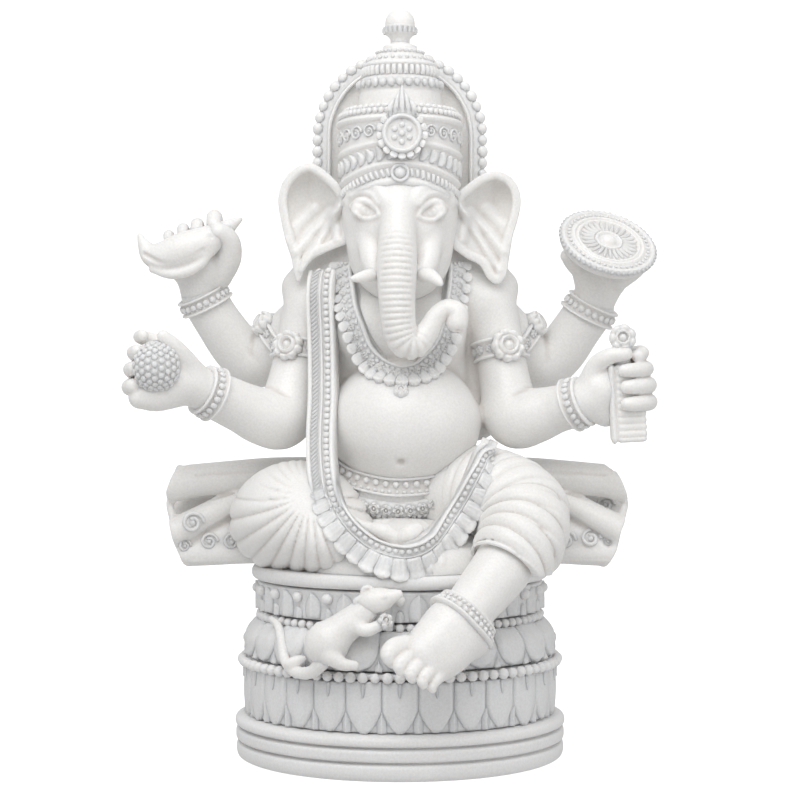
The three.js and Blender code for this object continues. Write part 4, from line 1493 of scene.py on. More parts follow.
def crown_drop(points):
    """The crown's lean towards the back, and the way its bands dip from the brow to the temples."""
    p = points.copy()
    y = p[:, 1] - CROWN_AXIS[1]
    turn = np.arctan2(np.abs(p[:, 0] - CROWN_AXIS[0]), -y)
    dip = np.clip(turn / (math.pi / 2), 0, 1)
    depth = 5.4 * (1 - fade(p[:, 2], 176, 197))
    p[:, 2] -= depth * (1 - np.cos(2 * np.clip(dip, 0, 1) * math.pi / 2)) / 2
    z = p[:, 2] - 186
    p[:, 1] = CROWN_AXIS[1] + y * math.cos(DRUM_LEAN) - z * math.sin(DRUM_LEAN) * 0.4
    p[:, 2] = 186 + z - y * math.sin(-DRUM_LEAN) * 0.35
    return p


def crown_ring(radius, z, out_z=0.0, count=144):
    """A band line round the crown that follows its dip and lean."""
    return ring_path(radius, z, CROWN_AXIS, count, out_z, crown_drop)


# ---- sizes and colours that a user may change


def colour_prop(name, description, default):
    """A colour that a user may change."""
    return bpy.props.FloatVectorProperty(
        name=name, description=description, subtype="COLOR", size=3, min=0, max=1, default=default)


def length_prop(name, description, default):
    """A length that a user may change, in metres."""
    return bpy.props.FloatProperty(
        name=name, description=description, unit="LENGTH", subtype="DISTANCE", default=default)


def share_prop(name, description, default):
    """A share from nought to one that a user may change."""
    return bpy.props.FloatProperty(
        name=name, description=description, subtype="FACTOR", min=0, max=1, default=default)


def count_prop(name, description, default, least, most):
    """A count that a user may change."""
    return bpy.props.IntProperty(name=name, description=description, default=default, min=least, max=most)


def amount_prop(name, description, default, unit="NONE"):
    """Any other number that a user may change, never below nought."""
    return bpy.props.FloatProperty(name=name, description=description, unit=unit, default=default, min=0)


class IdolMaterials(bpy.types.PropertyGroup):
    """Colours and finish of the cast resin."""

    body_colour: colour_prop("Body colour", "Colour of the polished skin", (0.855, 0.845, 0.83))
    carved_colour: colour_prop("Carved colour", "Colour of the crown and jewellery", (0.875, 0.865, 0.85))
    cloth_colour: colour_prop("Cloth colour", "Colour of the garments and the seat roll", (0.85, 0.84, 0.825))
    pedestal_colour: colour_prop("Pedestal colour", "Colour of the lotus pedestal", (0.8, 0.797, 0.795))
    # painted shade: how much the hollows are darkened and warmed in colour
    hollow_shade: share_prop("Hollow shade", "How much the carved hollows darken", 0.5)
    glow: length_prop("Depth of light", "How far light travels under the surface", 0.0025)
    roughness: share_prop("Roughness", "Roughness of the polished skin", 0.34)
    grain: share_prop("Grain", "Strength of the fine marble-dust grain", 0.35)


class IdolSculpt(bpy.types.PropertyGroup):
    """Fineness of the sculpted surfaces."""

    skin_step: length_prop("Skin step", "Mesh step of the body and arms", 0.00066)
    head_step: length_prop("Head step", "Mesh step of the head and ears", 0.00038)
    hand_step: length_prop("Hand step", "Mesh step of the hands, the foot and the mouse", 0.00035)
    cloth_step: length_prop("Cloth step", "Mesh step of the pleated cloth", 0.00045)


class IdolPedestal(bpy.types.PropertyGroup):
    """Counts and sizes of the pedestal's carving."""

    lower_petals: count_prop("Lower petals", "Petals round the lower tier", 28, 8, 60)
    upper_petals: count_prop("Upper petals", "Petals round the upper tier", 24, 8, 60)
    leaves: count_prop("Collar leaves", "Leaves and pearls round the collar", 25, 8, 60)
    middle_beads: count_prop("Middle beads", "Beads of the ring between the tiers", 84, 20, 200)
    upper_beads: count_prop("Upper beads", "Beads of the ring over the upper tier", 86, 20, 200)
    petal_relief: length_prop("Petal relief", "How far the petals stand out", 0.0017)


class IdolJewellery(bpy.types.PropertyGroup):
    """Counts and sizes of the beadwork on the figure."""

    garland_beads: count_prop("Garland beads", "Beads down the hanging length of the garland", 40, 8, 90)
    garland_petals: count_prop("Garland petals", "Petals round the garland's lap part", 24, 5, 40)
    necklace_scallops: count_prop("Necklace scallops", "Scallops round the necklace's edge", 29, 8, 50)
    halo_beads: count_prop("Halo beads", "Beads round the halo's rim", 34, 8, 60)
    bead_size: length_prop("Bead size", "Width of a bracelet's bead", 0.0019)


class IdolStage(bpy.types.PropertyGroup):
    """Camera, light and backdrop."""

    backdrop_colour: colour_prop("Backdrop colour", "Colour of the floor and backdrop", (0.98, 0.98, 0.98))
    world_strength: amount_prop("Surround", "Strength of the even surround light", 0.62)
    backdrop_glow: amount_prop("Backdrop glow", "Light of the backdrop, which only the camera sees", 0.7)
    key_power: amount_prop("Key light", "Power of the main soft light", 3.0, "POWER")
    fill_power: amount_prop("Fill light", "Power of the side fill", 1.2, "POWER")
    camera_distance: length_prop("Camera distance", "Distance from the camera to the idol", 0.7)
    camera_height: length_prop("Camera height", "Height of the camera", 0.1212)
    aim_height: length_prop("Aim height", "Height that the camera looks at", 0.11)
    lens: amount_prop("Lens", "Focal length", 101.6, "CAMERA")


def settings(name):
    """One of the groups of settings, as the user has set them."""
    return getattr(bpy.context.scene, name)


# ---- materials


# Each finish of the resin: its colour, how much rougher than the skin it is, its share of the painted
# shade in the hollows, and its material slot.
FINISHES = {
    "polished": ("body_colour", 0.0, 1.0, "polished_resin"),
    "carved": ("carved_colour", 0.04, 0.55, "carved_resin"),
    "cloth": ("cloth_colour", 0.06, 1.0, "drapery_resin"),
    "pedestal": ("pedestal_colour", 0.12, 1.0, "pedestal_resin"),
}
PAINTED_SHADE_TONE = (0.74, 0.69, 0.65)  # painted shade: what the colour is multiplied by where a hollow is deepest, darker and warmer there
GRAIN_HEIGHT = 0.00012  # in metres


def resin(finish):
    """White marble-dust resin: light carries under its surface, and painted shade darkens and warms the
    hollows.
    """
    name = finish + " resin"
    made = bpy.data.materials.get(name)
    if made:
        return made
    given = settings("idol_materials")
    key, rougher, depth, _ = FINISHES[finish]
    tone, roughness = tuple(getattr(given, key)), given.roughness + rougher
    made = bpy.data.materials.new(name)
    made.use_nodes = True
    made.node_tree.nodes.clear()
    node = planted(made.node_tree)
    place = node("ShaderNodeTexCoord", -1200, 0).outputs["Object"]

    def noise(y, scale, detail):
        values = {"Vector": place, "Scale": scale, "Detail": detail}
        return node("ShaderNodeTexNoise", -900, y, values).outputs["Fac"]

    def spread(x, y, value, start, end, least, most):
        """A value that runs from start to end, spread from least to most."""
        values = {"Value": value, "From Min": start, "From Max": end, "To Min": least, "To Max": most}
        return node("ShaderNodeMapRange", x, y, values).outputs["Result"]

    cloud, speck = noise(200, 38, 3), noise(-60, 1500, 1)
    hollow = node("ShaderNodeAttribute", -900, 420, attribute_name="hollow").outputs["Fac"]
    # painted shade: the colour turns darker and warmer where the surface is hollow
    values = {
        "Factor": spread(-680, 420, hollow, -0.02, 0.42, 0.0, given.hollow_shade * depth),
        "A": (*tone, 1),
        "B": (*(part * warm for part, warm in zip(tone, PAINTED_SHADE_TONE)), 1),
    }
    base = node("ShaderNodeMix", -420, 260, values, data_type="RGBA").outputs["Result"]
    mottle = spread(-680, 160, cloud, 0.3, 0.7, 0.965, 1.02)
    dust = spread(-680, 0, speck, 0.3, 0.7, 0.955, 1.03)
    both = node("ShaderNodeMath", -420, 80, {0: mottle, 1: dust}, operation="MULTIPLY").outputs["Value"]
    toned = node("ShaderNodeVectorMath", -180, 200, {0: base, "Scale": both}, operation="SCALE")
    gloss = spread(-420, -60, speck, 0.35, 0.65, roughness - 0.05, roughness + 0.08)
    values = {"Strength": given.grain, "Distance": GRAIN_HEIGHT, "Height": speck}
    grain = node("ShaderNodeBump", -180, -260, values)
    values = {
        "Base Color": toned.outputs["Vector"],
        "Roughness": gloss,
        "Normal": grain.outputs["Normal"],
        "Subsurface Weight": 0.55,
        "Subsurface Radius": (1.0, 0.92, 0.84),
        "Subsurface Scale": given.glow,
        "IOR": 1.5,
        "Specular IOR Level": 0.5,
    }
    skin = node("ShaderNodeBsdfPrincipled", 200, 0, values, subsurface_method="RANDOM_WALK")
    node("ShaderNodeOutputMaterial", 500, 0, {"Surface": skin.outputs["BSDF"]})
    return made


def step_of(name):
    """One of the mesh steps, in millimetres."""
    return getattr(settings("idol_sculpt"), name) / MM


# ---- operators: the figure


class IDOL_OT_body(bpy.types.Operator):
    """Sculpt the torso and the four arms"""

    bl_idname = "idol.body"
    bl_label = "Body and arms"

    def execute(self, context):
        piece = sculpt("body-and-arms", body_form(), step_of("skin_step"))
        arms = [f"{side}_{row}_{part}" for side in ("right", "left") for row in ("front", "rear")
                for part in ("upper_arm", "forearm")]
        finished(piece, "polished", "torso", *arms)
        return {"FINISHED"}


class IDOL_OT_head(bpy.types.Operator):
    """Sculpt the elephant head with its trunk, ears and tusks"""

    bl_idname = "idol.head"
    bl_label = "Head, ears and tusks"

    def execute(self, context):
        step = step_of("head_step")
        finished(sculpt("head-and-trunk", head_form(), step), "polished", "head", "trunk")
        for side, name, outline in ((-1, "right", RIGHT_EAR), (1, "left", LEFT_EAR)):
            ear = sculpt(f"{name}-ear-hollow", ear_form(outline, side), step)
            finished(ear, "polished", f"{name}_ear")
        tusks = {
            "right": [(-7.4, -27, 147.8, 2.1), (-10, -30.4, 147.2, 1.9), (-12.8, -33, 146.5, 1.3),
                      (-14, -34, 146.3, 0.7)],
            "left": [(6.6, -27, 148, 2.3), (9, -30.4, 147.2, 2.2), (11, -33, 145.8, 1.5),
                     (11.9, -34, 144.9, 0.9)],
        }
        for name, line in tusks.items():
            finished(sculpt(f"{name}-tusk-cone", limb(line), 0.3), "polished", f"{name}_tusk")
        return {"FINISHED"}


class IDOL_OT_hands(bpy.types.Operator):
    """Sculpt the four hands"""

    bl_idname = "idol.hands"
    bl_label = "Hands"

    def execute(self, context):
        forms = {
            "right_front_hand": right_front_hand_form,
            "left_front_hand": left_front_hand_form,
            "right_rear_hand": right_rear_hand_form,
            "left_rear_hand": left_rear_hand_form,
        }
        for node, form in forms.items():
            finished(sculpt(node.replace("_", "-"), form(), step_of("hand_step")), "polished", node)
        return {"FINISHED"}


class IDOL_OT_legs(bpy.types.Operator):
    """Sculpt the two legs, their pleated cloth and the bare foot"""

    bl_idname = "idol.legs"
    bl_label = "Legs"

    def execute(self, context):
        step = step_of("cloth_step")
        finished(sculpt("right-leg-pleated", right_leg_form(), step), "cloth", "right_leg")
        finished(sculpt("left-trouser-leg-folded", trouser_form(), step), "cloth", "left_trouser_leg")
        foot = sculpt("left-shin-and-foot", foot_form(), step_of("hand_step"))
        finished(foot, "polished", "left_shin", "left_foot")
        return {"FINISHED"}


class IDOL_OT_seat_cloth(bpy.types.Operator):
    """Sculpt the lap cloth and the seat roll with its two ends"""

    bl_idname = "idol.seat_cloth"
    bl_label = "Lap cloth and seat roll"

    def execute(self, context):
        step = step_of("cloth_step")
        finished(sculpt("lap-cloth-knotted", lap_form(), step), "cloth", "lap_cloth")
        foot, top = low("bolster"), high("bolster")
        _, y, z = (foot + top) / 2
        thick = ((top - foot) / 2)[2]
        ends = thick * 0.82
        roll = limb([(foot[0] + 6, y, z, ends), (0, y + 2, z, thick * 0.98), (top[0] - 6, y, z, ends)])
        finished(sculpt("seat-roll", above(roll, SEAT_TOP - SUNK), 0.6), "cloth", "bolster")
        for side, name in ((-1, "right"), (1, "left")):
            wing = wing_form(side)
            parts = [sculpt("cloth", wing, step)]
            for x, z, size in WING_SCROLLS[side]:
                place = front_of(wing, np.array([side * x]), np.array([z]))
                out = slope(wing, place, 0.8)[0]
                parts.append(at_point("scroll", place[0], out, (0, 0, 1), scroll, (size, size, 1.3)))
            finished(joined(f"{name}-end-of-seat-roll", parts), "cloth", f"{name}_bolster_end")
        return {"FINISHED"}


class IDOL_OT_held(bpy.types.Operator):
    """Make what the hands hold: sweets, conch, lotus disc and goad"""

    bl_idname = "idol.held"
    bl_label = "Held things"

    def execute(self, context):
        self.sweets()
        finished(sculpt("conch-shell", conch_form(), 0.32), "carved", "conch")
        self.disc()
        self.goad()
        return {"FINISHED"}

    def sweets(self):
        """The heap of sweets, covered with grains."""
        parts = [sculpt("heap", sweet_form(), 0.4)]
        for turn in range(-4, 5):
            lean = math.radians(turn * 17)
            for way in range(1, 10):
                lift = math.radians(-80 + way * 17 + (8 if turn % 2 else 0))
                level = math.cos(lift)
                out = np.array([math.sin(lean) * level, -math.cos(lean) * level, math.sin(lift)])
                place = np.array(SWEET_CENTRE) + out * np.array(SWEET_RADII) * 0.985
                parts.append(at_point("grain", place, out, (0, 0, 1), (bead, 8), (2.1, 2.1, 1.5)))
        finished(joined("sweets-heap", parts), "carved", "sweet_bowl")

    def disc(self):
        """The lotus disc: a boss, rings, radiating petals and a notched rim, tipped towards the viewer."""
        radius, thick = 15.6, 4.6
        profile = [
            (9, -thick - 1.4), (13.4, -thick + 0.4), (radius - 0.5, -2.6), (radius, -1.2), (radius, -0.4),
            (radius - 0.5, 0.3), (14.2, 0.5), (13.8, 0.0), (11.8, 0.0), (11.5, 0.7), (10.9, 0.7), (10.7, 0.1),
            (10.3, 0.1), (10.1, 0.6), (9.6, 0.6), (9.2, 0), (4.6, -0.2), (4.3, 0.9), (3.7, 0.9), (3.3, 0.1),
            (2.4, 0.2), (1.9, 1.2), (1.0, 1.7), (0.2, 1.8),
        ]
        piece = joined("lotus-disc-carved", [
            turned("plate", softened(profile)),
            row("rays", flat_path(6.9), leaf, 26, (1.55, 4.6, 0.9), slant=180),
            row("dots", flat_path(12.8, 0.1), (bead, 8), 44, (1.25, 1.25, 1.1)),
            row("notches", flat_path(radius - 0.3, -0.5), (bead, 8), 52, (1.5, 1.3, 1.7)),
        ])
        normal = Vector((0.22, -0.63, 0.745)).normalized()
        place = Vector((low("lotus_disc") + high("lotus_disc")) / 2) + normal * 1.6
        placed(piece, place, normal.to_track_quat("Z", "Y").to_matrix().to_4x4())
        finished(piece, "carved", "lotus_disc")

    def goad(self):
        """The ribbed grip with the rosette at its head."""
        finished(joined("goad-ribbed", [
            sculpt("grip", goad_form(), 0.32),
            sculpt("stem", limb([(66.8, -22, 121, 2.6), (66.7, -22.4, 125.6, 2.6)]), 0.4),
            sculpt("knob", ellipsoid((66.6, -22.6, 129.1), (3.9, 3, 3.9)), 0.4),
            at_point("flower", (66.6, -25.2, 129.1), (0, -1, 0.12), (0, 0, 1), (rosette, 7), (8.4, 8.4, 1.5)),
        ]), "carved", "goad")


class IDOL_OT_mouse(bpy.types.Operator):
    """Sculpt the mouse at the left foot"""

    bl_idname = "idol.mouse"
    bl_label = "Mouse"

    def execute(self, context):
        step = step_of("hand_step")
        body = joined("mouse-body-skin", [
            sculpt("body", mouse_form(), step),
            at_point("sweet", (-4.2, -52.4, 47.2), (0.2, -1, 0.5), (0, 0, 1), (rosette, 5), (4.8, 4.8, 2.2)),
            sculpt("ball", ellipsoid((-4.2, -51, 46.8), (2.4, 1.9, 2.4)), 0.35),
        ])
        finished(body, "polished", "mouse_body")
        finished(sculpt("mouse-head-skin", mouse_head_form(), step), "polished", "mouse_head")
        finished(sculpt("mouse-tail-skin", mouse_tail_form(), step), "polished", "mouse_tail")
        return {"FINISHED"}


# ---- operators: crown, halo and jewellery


class IDOL_OT_crown(bpy.types.Operator):
    """Make the tiered crown with its bands, medallion, flame and finial"""

    bl_idname = "idol.crown"
    bl_label = "Crown"

    def execute(self, context):
        self.drum()
        self.cap()
        self.finial()
        self.medallion()
        return {"FINISHED"}

    def drum(self):
        """The lower crown: an arched brow band, a band of leaves, a band of scrolls and a wreath on top."""
        profile = [
            (15.2, 173.5), (17.4, 173.6), (18.2, 174.4), (18.4, 175.4), (18.0, 176.2), (17.7, 176.6),
            (17.7, 179.2), (18.3, 179.8), (18.9, 180.6), (18.3, 181.2), (18.0, 181.6), (18.2, 186.0),
            (18.8, 186.4), (19.2, 187.0), (18.8, 187.6), (18.4, 187.9), (18.5, 193.2), (19.1, 193.6),
            (19.6, 194.4), (19.1, 195.1), (18.2, 195.4), (17.9, 197.3), (17.0, 198.0), (12, 198.1),
        ]
        parts = [
            turned("drum", softened(profile), CROWN_AXIS, 144, crown_drop),
            row("brow beads", crown_ring(17.9, 177.9), flute, 64, (1.3, 2.5, 0.8), slant=14),
            row("leaf band", crown_ring(18.0, 183.8), comma, 34, (3.1, 4.2, 1.3)),
            row("scroll band", crown_ring(18.3, 190.6), scroll, 24, (4.9, 5.0, 1.7)),
            row("rim beads", crown_ring(18.3, 196.5), bead, 60, (1.8, 2.0, 2.0)),
            row("top wreath", crown_ring(16.9, 198.0, 1.2), bead, 48, (2.0, 2.0, 2.0)),
            turned("jewel rim", [(2.4, -1.5), (2.9, 0.2), (2.9, 0.8), (2.3, 1.1), (1.9, 0.5)], sides=24),
            turned("jewel", [(1.7, 0.0), (1.6, 0.8), (1.0, 1.4), (0.4, 1.6)], sides=16),
        ]
        for piece in parts[-2:]:
            placed(piece, (0, -25.1, 178.2), Matrix.Rotation(math.radians(84), 4, "X"))
        finished(flat_behind(joined("crown-band-carved", parts), HALO_DEPTH), "carved", "crown_band")

    def cap(self):
        """The upper crown: a neck, a wreath of petals, a ring of beads and a dotted dome."""
        profile = [
            (13.4, 196.8), (12.9, 198.4), (12.6, 203.2), (12.3, 204.0), (12.7, 204.9), (13.0, 206.3),
            (12.5, 207.7), (11.4, 208.3), (10.8, 208.8), (10.8, 211.6), (11.3, 212.0), (11.3, 212.7),
            (10.6, 213.1), (9.4, 213.6), (8.8, 214.6), (7.6, 215.4), (7.1, 215.9), (7.1, 216.8),
            (5.9, 217.2), (5.2, 217.6), (5.2, 218.5), (4.0, 218.9), (3.2, 219.3),
        ]
        piece = joined("crown-cap-carved", [
            turned("cap", softened(profile), CROWN_AXIS),
            row("cap wreath", ring_path(12.5, 206.2, CROWN_AXIS), bead, 30, (2.7, 2.9, 2.4), uneven=0.1),
            row("cap beads", ring_path(10.9, 210.2, CROWN_AXIS), flute, 38, (1.8, 3.0, 1.2)),
            row("cap dots", ring_path(9.1, 214.2, CROWN_AXIS, out_z=0.9), bead, 26, (1.3, 1.3, 1.4)),
            row("cap lip", ring_path(7.2, 216.4, CROWN_AXIS), bead, 30, (1.2, 1.1, 1.2)),
        ])
        finished(flat_behind(piece, HALO_DEPTH), "carved", "crown_cap")

    def finial(self):
        """The bud on top, with a fluted collar."""
        profile = [
            (2.6, 218.8), (3.0, 219.6), (3.0, 220.5), (3.8, 221.4), (4.8, 222.4), (5.2, 223.3), (5.0, 224.2),
            (4.5, 224.6), (4.6, 225.2), (4.5, 226.4), (4.0, 227.7), (3.1, 228.8), (1.9, 229.6), (0.7, 229.95),
        ]
        finished(joined("crown-finial-carved", [
            turned("bud", softened(profile), CROWN_AXIS, 48),
            row("bud collar", ring_path(5.0, 223.1, CROWN_AXIS), flute, 20, (1.6, 2.0, 0.5)),
        ]), "carved", "crown_finial")

    def medallion(self):
        """The round medallion with seven dots, petals about it and a flame of five tongues above."""
        profile = [
            (5.8, -2.4), (6.2, 0.0), (5.9, 0.7), (5.5, 1.1), (5.0, 1.1), (4.6, 0.5), (4.4, 0.1), (0.4, 0.3),
        ]
        parts = [
            turned("plate", softened(profile), sides=48),
            row("edge petals", flat_path(6.5, -0.4, 72), shell_petal, 17, (2.4, 2.6, 1.1), slant=180),
            row("seven dots", flat_path(2.6, 0.35, 72), bead, 6, (1.8, 1.8, 1.8)),
            at_point("middle dot", (0, 0, 0.4), (0, 0, 1), (0, 1, 0), bead, (2, 2, 2.2)),
        ]
        for x, tall in ((0, 8.2), (-1.6, 6.8), (1.6, 6.8), (-3.1, 4.9), (3.1, 4.9)):
            tongue = [(x * 1.1, 4.6, -0.4, 0.75), (x * 1.15, 6.0 + tall * 0.3, 0.1, 0.85),
                      (x * 0.85, 6.0 + tall * 0.7, 0.1, 0.7), (x * 0.35, 6.2 + tall, -0.4, 0.3)]
            parts.append(sculpt("tongue", limb(tongue), 0.3))
        outline = [(-4.2, 4), (-3.9, 7.6), (-2, 11.2), (0, 13.8), (2, 11.2), (3.9, 7.6), (4.2, 4)]
        back = sculpt("flame back", leaf_form(outline, lambda x, z, depth: 0 * x, 0.7), 0.35)
        parts.append(placed(back, (0, 0, -0.9), Matrix.Rotation(math.radians(-90), 4, "X")))
        piece = joined("crown-medallion-carved", parts)
        placed(piece, (0.6, -26.3, 189.9), Matrix.Rotation(math.radians(85), 4, "X"))
        finished(piece, "carved", "crown_medallion")


class IDOL_OT_halo(bpy.types.Operator):
    """Make the halo behind the crown, with its rim of beads"""

    bl_idname = "idol.halo"
    bl_label = "Halo"

    def execute(self, context):
        centre_z, foot_z, radius = 191.5, 173.0, 23.6
        half = np.linspace(0, math.pi, 70)
        legs = np.linspace(foot_z, centre_z, 14)[:-1]

        def arc(radius, y):
            """Half a circle on two straight legs."""
            bow = np.column_stack([radius * np.cos(half), np.full(70, y), centre_z + radius * np.sin(half)])
            left = np.column_stack([np.full(13, radius), np.full(13, y), legs])
            return np.vstack([left, bow, (left * [-1, 1, 1])[::-1]])

        level = arc(radius, 3.0)
        forward = np.tile([0, -1.0, 0], (len(level), 1))
        outward = (level - [0, 3.0, centre_z]) / radius
        outward[:, 2] = np.maximum(outward[:, 2], 0)
        rim = [
            ribbon("rim", Path(level, forward), ROUND_BAND, 4.4, 2.0, 2.4),
            ribbon("lip", Path(arc(22.0, 2.0), forward), ROUND_BAND, 1.3, 2.2, 2.0),
            row("rim beads", Path(arc(25.3, 2.6), outward), (bead, 12), settings("idol_jewellery").halo_beads,
                (4.1, 4.3, 4.4), uneven=0.06),
        ]
        finished(joined("halo-rim-beaded", rim), "carved", "halo_rim")
        outline = [tuple(p) for p in arc(23, 0)[::4][:, [0, 2]]]
        plate = leaf_form(outline, lambda x, z, depth: HALO_DEPTH + 0 * x, 1.5)
        finished(sculpt("halo-plate-smooth", plate, 0.6), "carved", "halo_plate")
        return {"FINISHED"}


class IDOL_OT_arm_rings(bpy.types.Operator):
    """Make the bracelets, the armlets with their rosettes and the anklet"""

    bl_idname = "idol.arm_rings"
    bl_label = "Bracelets, armlets and anklet"

    def execute(self, context):
        arms = {
            "right_front": limb(RIGHT_FRONT_ARM),
            "left_front": limb(LEFT_FRONT_ARM),
            "right_rear": limb(RIGHT_REAR_ARM),
            "left_rear": limb(LEFT_REAR_ARM),
        }
        bracelets = {  # centre, axis and width
            "right_front": ((-57.4, -22, 112.6), (-0.8, -0.5, 0.38), 5.0),
            "left_front": ((53.6, -17.6, 109.2), (0.8, -0.42, 0.36), 5.2),
            "right_rear": ((-62.2, 17.3, 141.4), (-0.42, -0.2, 0.88), 4.8),
            "left_rear": ((60.4, 17.5, 138.4), (0.44, -0.2, 0.87), 5.2),
        }
        armlets = {  # centre, axis and width, then the way its flower faces and the flower's width
            "right_front": ((-31.2, 0.4, 125), (0.1, 0.2, 0.97), 6.0, (-0.45, -1, 0.05), 9.6),
            "left_front": ((31, 0.4, 125), (-0.1, 0.2, 0.97), 6.0, (0.3, -1, 0.05), 10.6),
            "right_rear": ((-36.6, 15.6, 129), (0.66, -0.36, 0.66), 5.0, (-0.7, -0.4, 0.7), 8.4),
            "left_rear": ((36.6, 15.6, 129), (-0.66, -0.36, 0.66), 5.0, (0.7, -0.4, 0.7), 8.4),
        }
        size = settings("idol_jewellery").bead_size / MM
        for place, (centre, axis, wide) in bracelets.items():
            line = hoop_on(arms[place], centre, axis, 7, 0.1)
            piece = joined(f"{place.replace('_', '-')}-bracelet-beaded", [
                ribbon("band", line, LIPPED_BAND, wide, 1.35),
                row("beads", line.beside(0, 0.75), bead, 22, (size + 0.1, size + 0.4, size * 0.8)),
            ])
            finished(piece, "carved", f"{place}_bracelet")
        for place, (centre, axis, wide, facing, flower) in armlets.items():
            line = hoop_on(arms[place], centre, axis, 8, 0.2)
            facing = np.array(facing, float)
            spot = int(np.argmax(line.outward @ (facing / np.linalg.norm(facing))))
            out = line.outward[spot]
            piece = joined(f"{place.replace('_', '-')}-armlet-flowered", [
                ribbon("band", line, LIPPED_BAND, wide, 1.2),
                row("flowers", line.beside(0, 0.5), (rosette, 6), 14, (3.0, 3.0, 0.7)),
                at_point("flower", line.points[spot] + out, out, axis, sunflower, (flower, flower, 2.4)),
            ])
            finished(piece, "carved", f"{place}_armlet")
        line = hoop_on(foot_form(), (17.4, -52.6, 48.6), (-0.62, -0.4, -0.68), 7.6, 0.15)
        finished(joined("anklet-beaded", [
            ribbon("band", line, LIPPED_BAND, 4.8, 1.6),
            row("beads", line.beside(0.6, 0.9), bead, 28, (1.7, 1.7, 1.6)),
            row("lower beads", line.beside(-1.1, 0.9), bead, 34, (1.3, 1.2, 1.3)),
        ]), "carved", "anklet")
        return {"FINISHED"}


class IDOL_OT_necklace(bpy.types.Operator):
    """Make the necklace: a smooth inner band, rows of beads and an edge of scallops"""

    bl_idname = "idol.necklace"
    bl_label = "Necklace"

    def execute(self, context):
        form = together(
            9.0,
            ellipsoid((0, -1, 131), (20.5, 16.4, 22)),
            ellipsoid(*BELLY),
            ellipsoid((0, -7.6, 131), (18.6, 9.6, 10)),
            limb(SHOULDERS),
        )
        places = [
            (-17.4, 151.4), (-17.2, 147.6), (-15.8, 140.1), (-13.4, 131.8), (-10.2, 124.6), (-5.8, 119.6),
            (0.2, 117.6), (6.3, 118.9), (10.2, 123.1), (13.2, 127.8), (15.2, 134), (16.8, 143), (17.6, 148),
            (17.6, 151.4),
        ]
        line = path_on(form, front_of(form, *np.array(places).T), 0.15, steps=7)
        swell = 0.85 + 0.3 * bump(np.linspace(-1, 1, len(line.points)), 1.0)
        lowest = line.points[np.argmin(line.points[:, 2])]
        hung = front_of(form, np.array([0.3]), np.array([lowest[2] - 4.4]))
        finished(joined("necklace-beaded", [
            ribbon("band", line, ROUND_BAND, 6.4, 0.9, 3.2),
            ribbon("inner lip", line.beside(2.7, 0.3), ROUND_BAND, 1.1, 1.0),
            row("inner beads", line.beside(1.3, 0.7), bead, 46, (1.5, 1.4, 1.5), girth=swell),
            row("flowers", line.beside(-0.5, 0.7), (rosette, 6), 30, (2.6, 2.6, 1.1), girth=swell),
            row("scallops", line.beside(-2.8, 0.5), shell_petal, settings("idol_jewellery").necklace_scallops,
                (3.4, 3.8, 1.3), 180, girth=swell),
            at_point("pendant", hung[0] + [0, -0.4, 0], slope(form, hung, 0.8)[0], (0, 0, 1), (rosette, 6),
                     (4.6, 4.6, 1.6)),
        ]), "carved", "necklace")
        return {"FINISHED"}


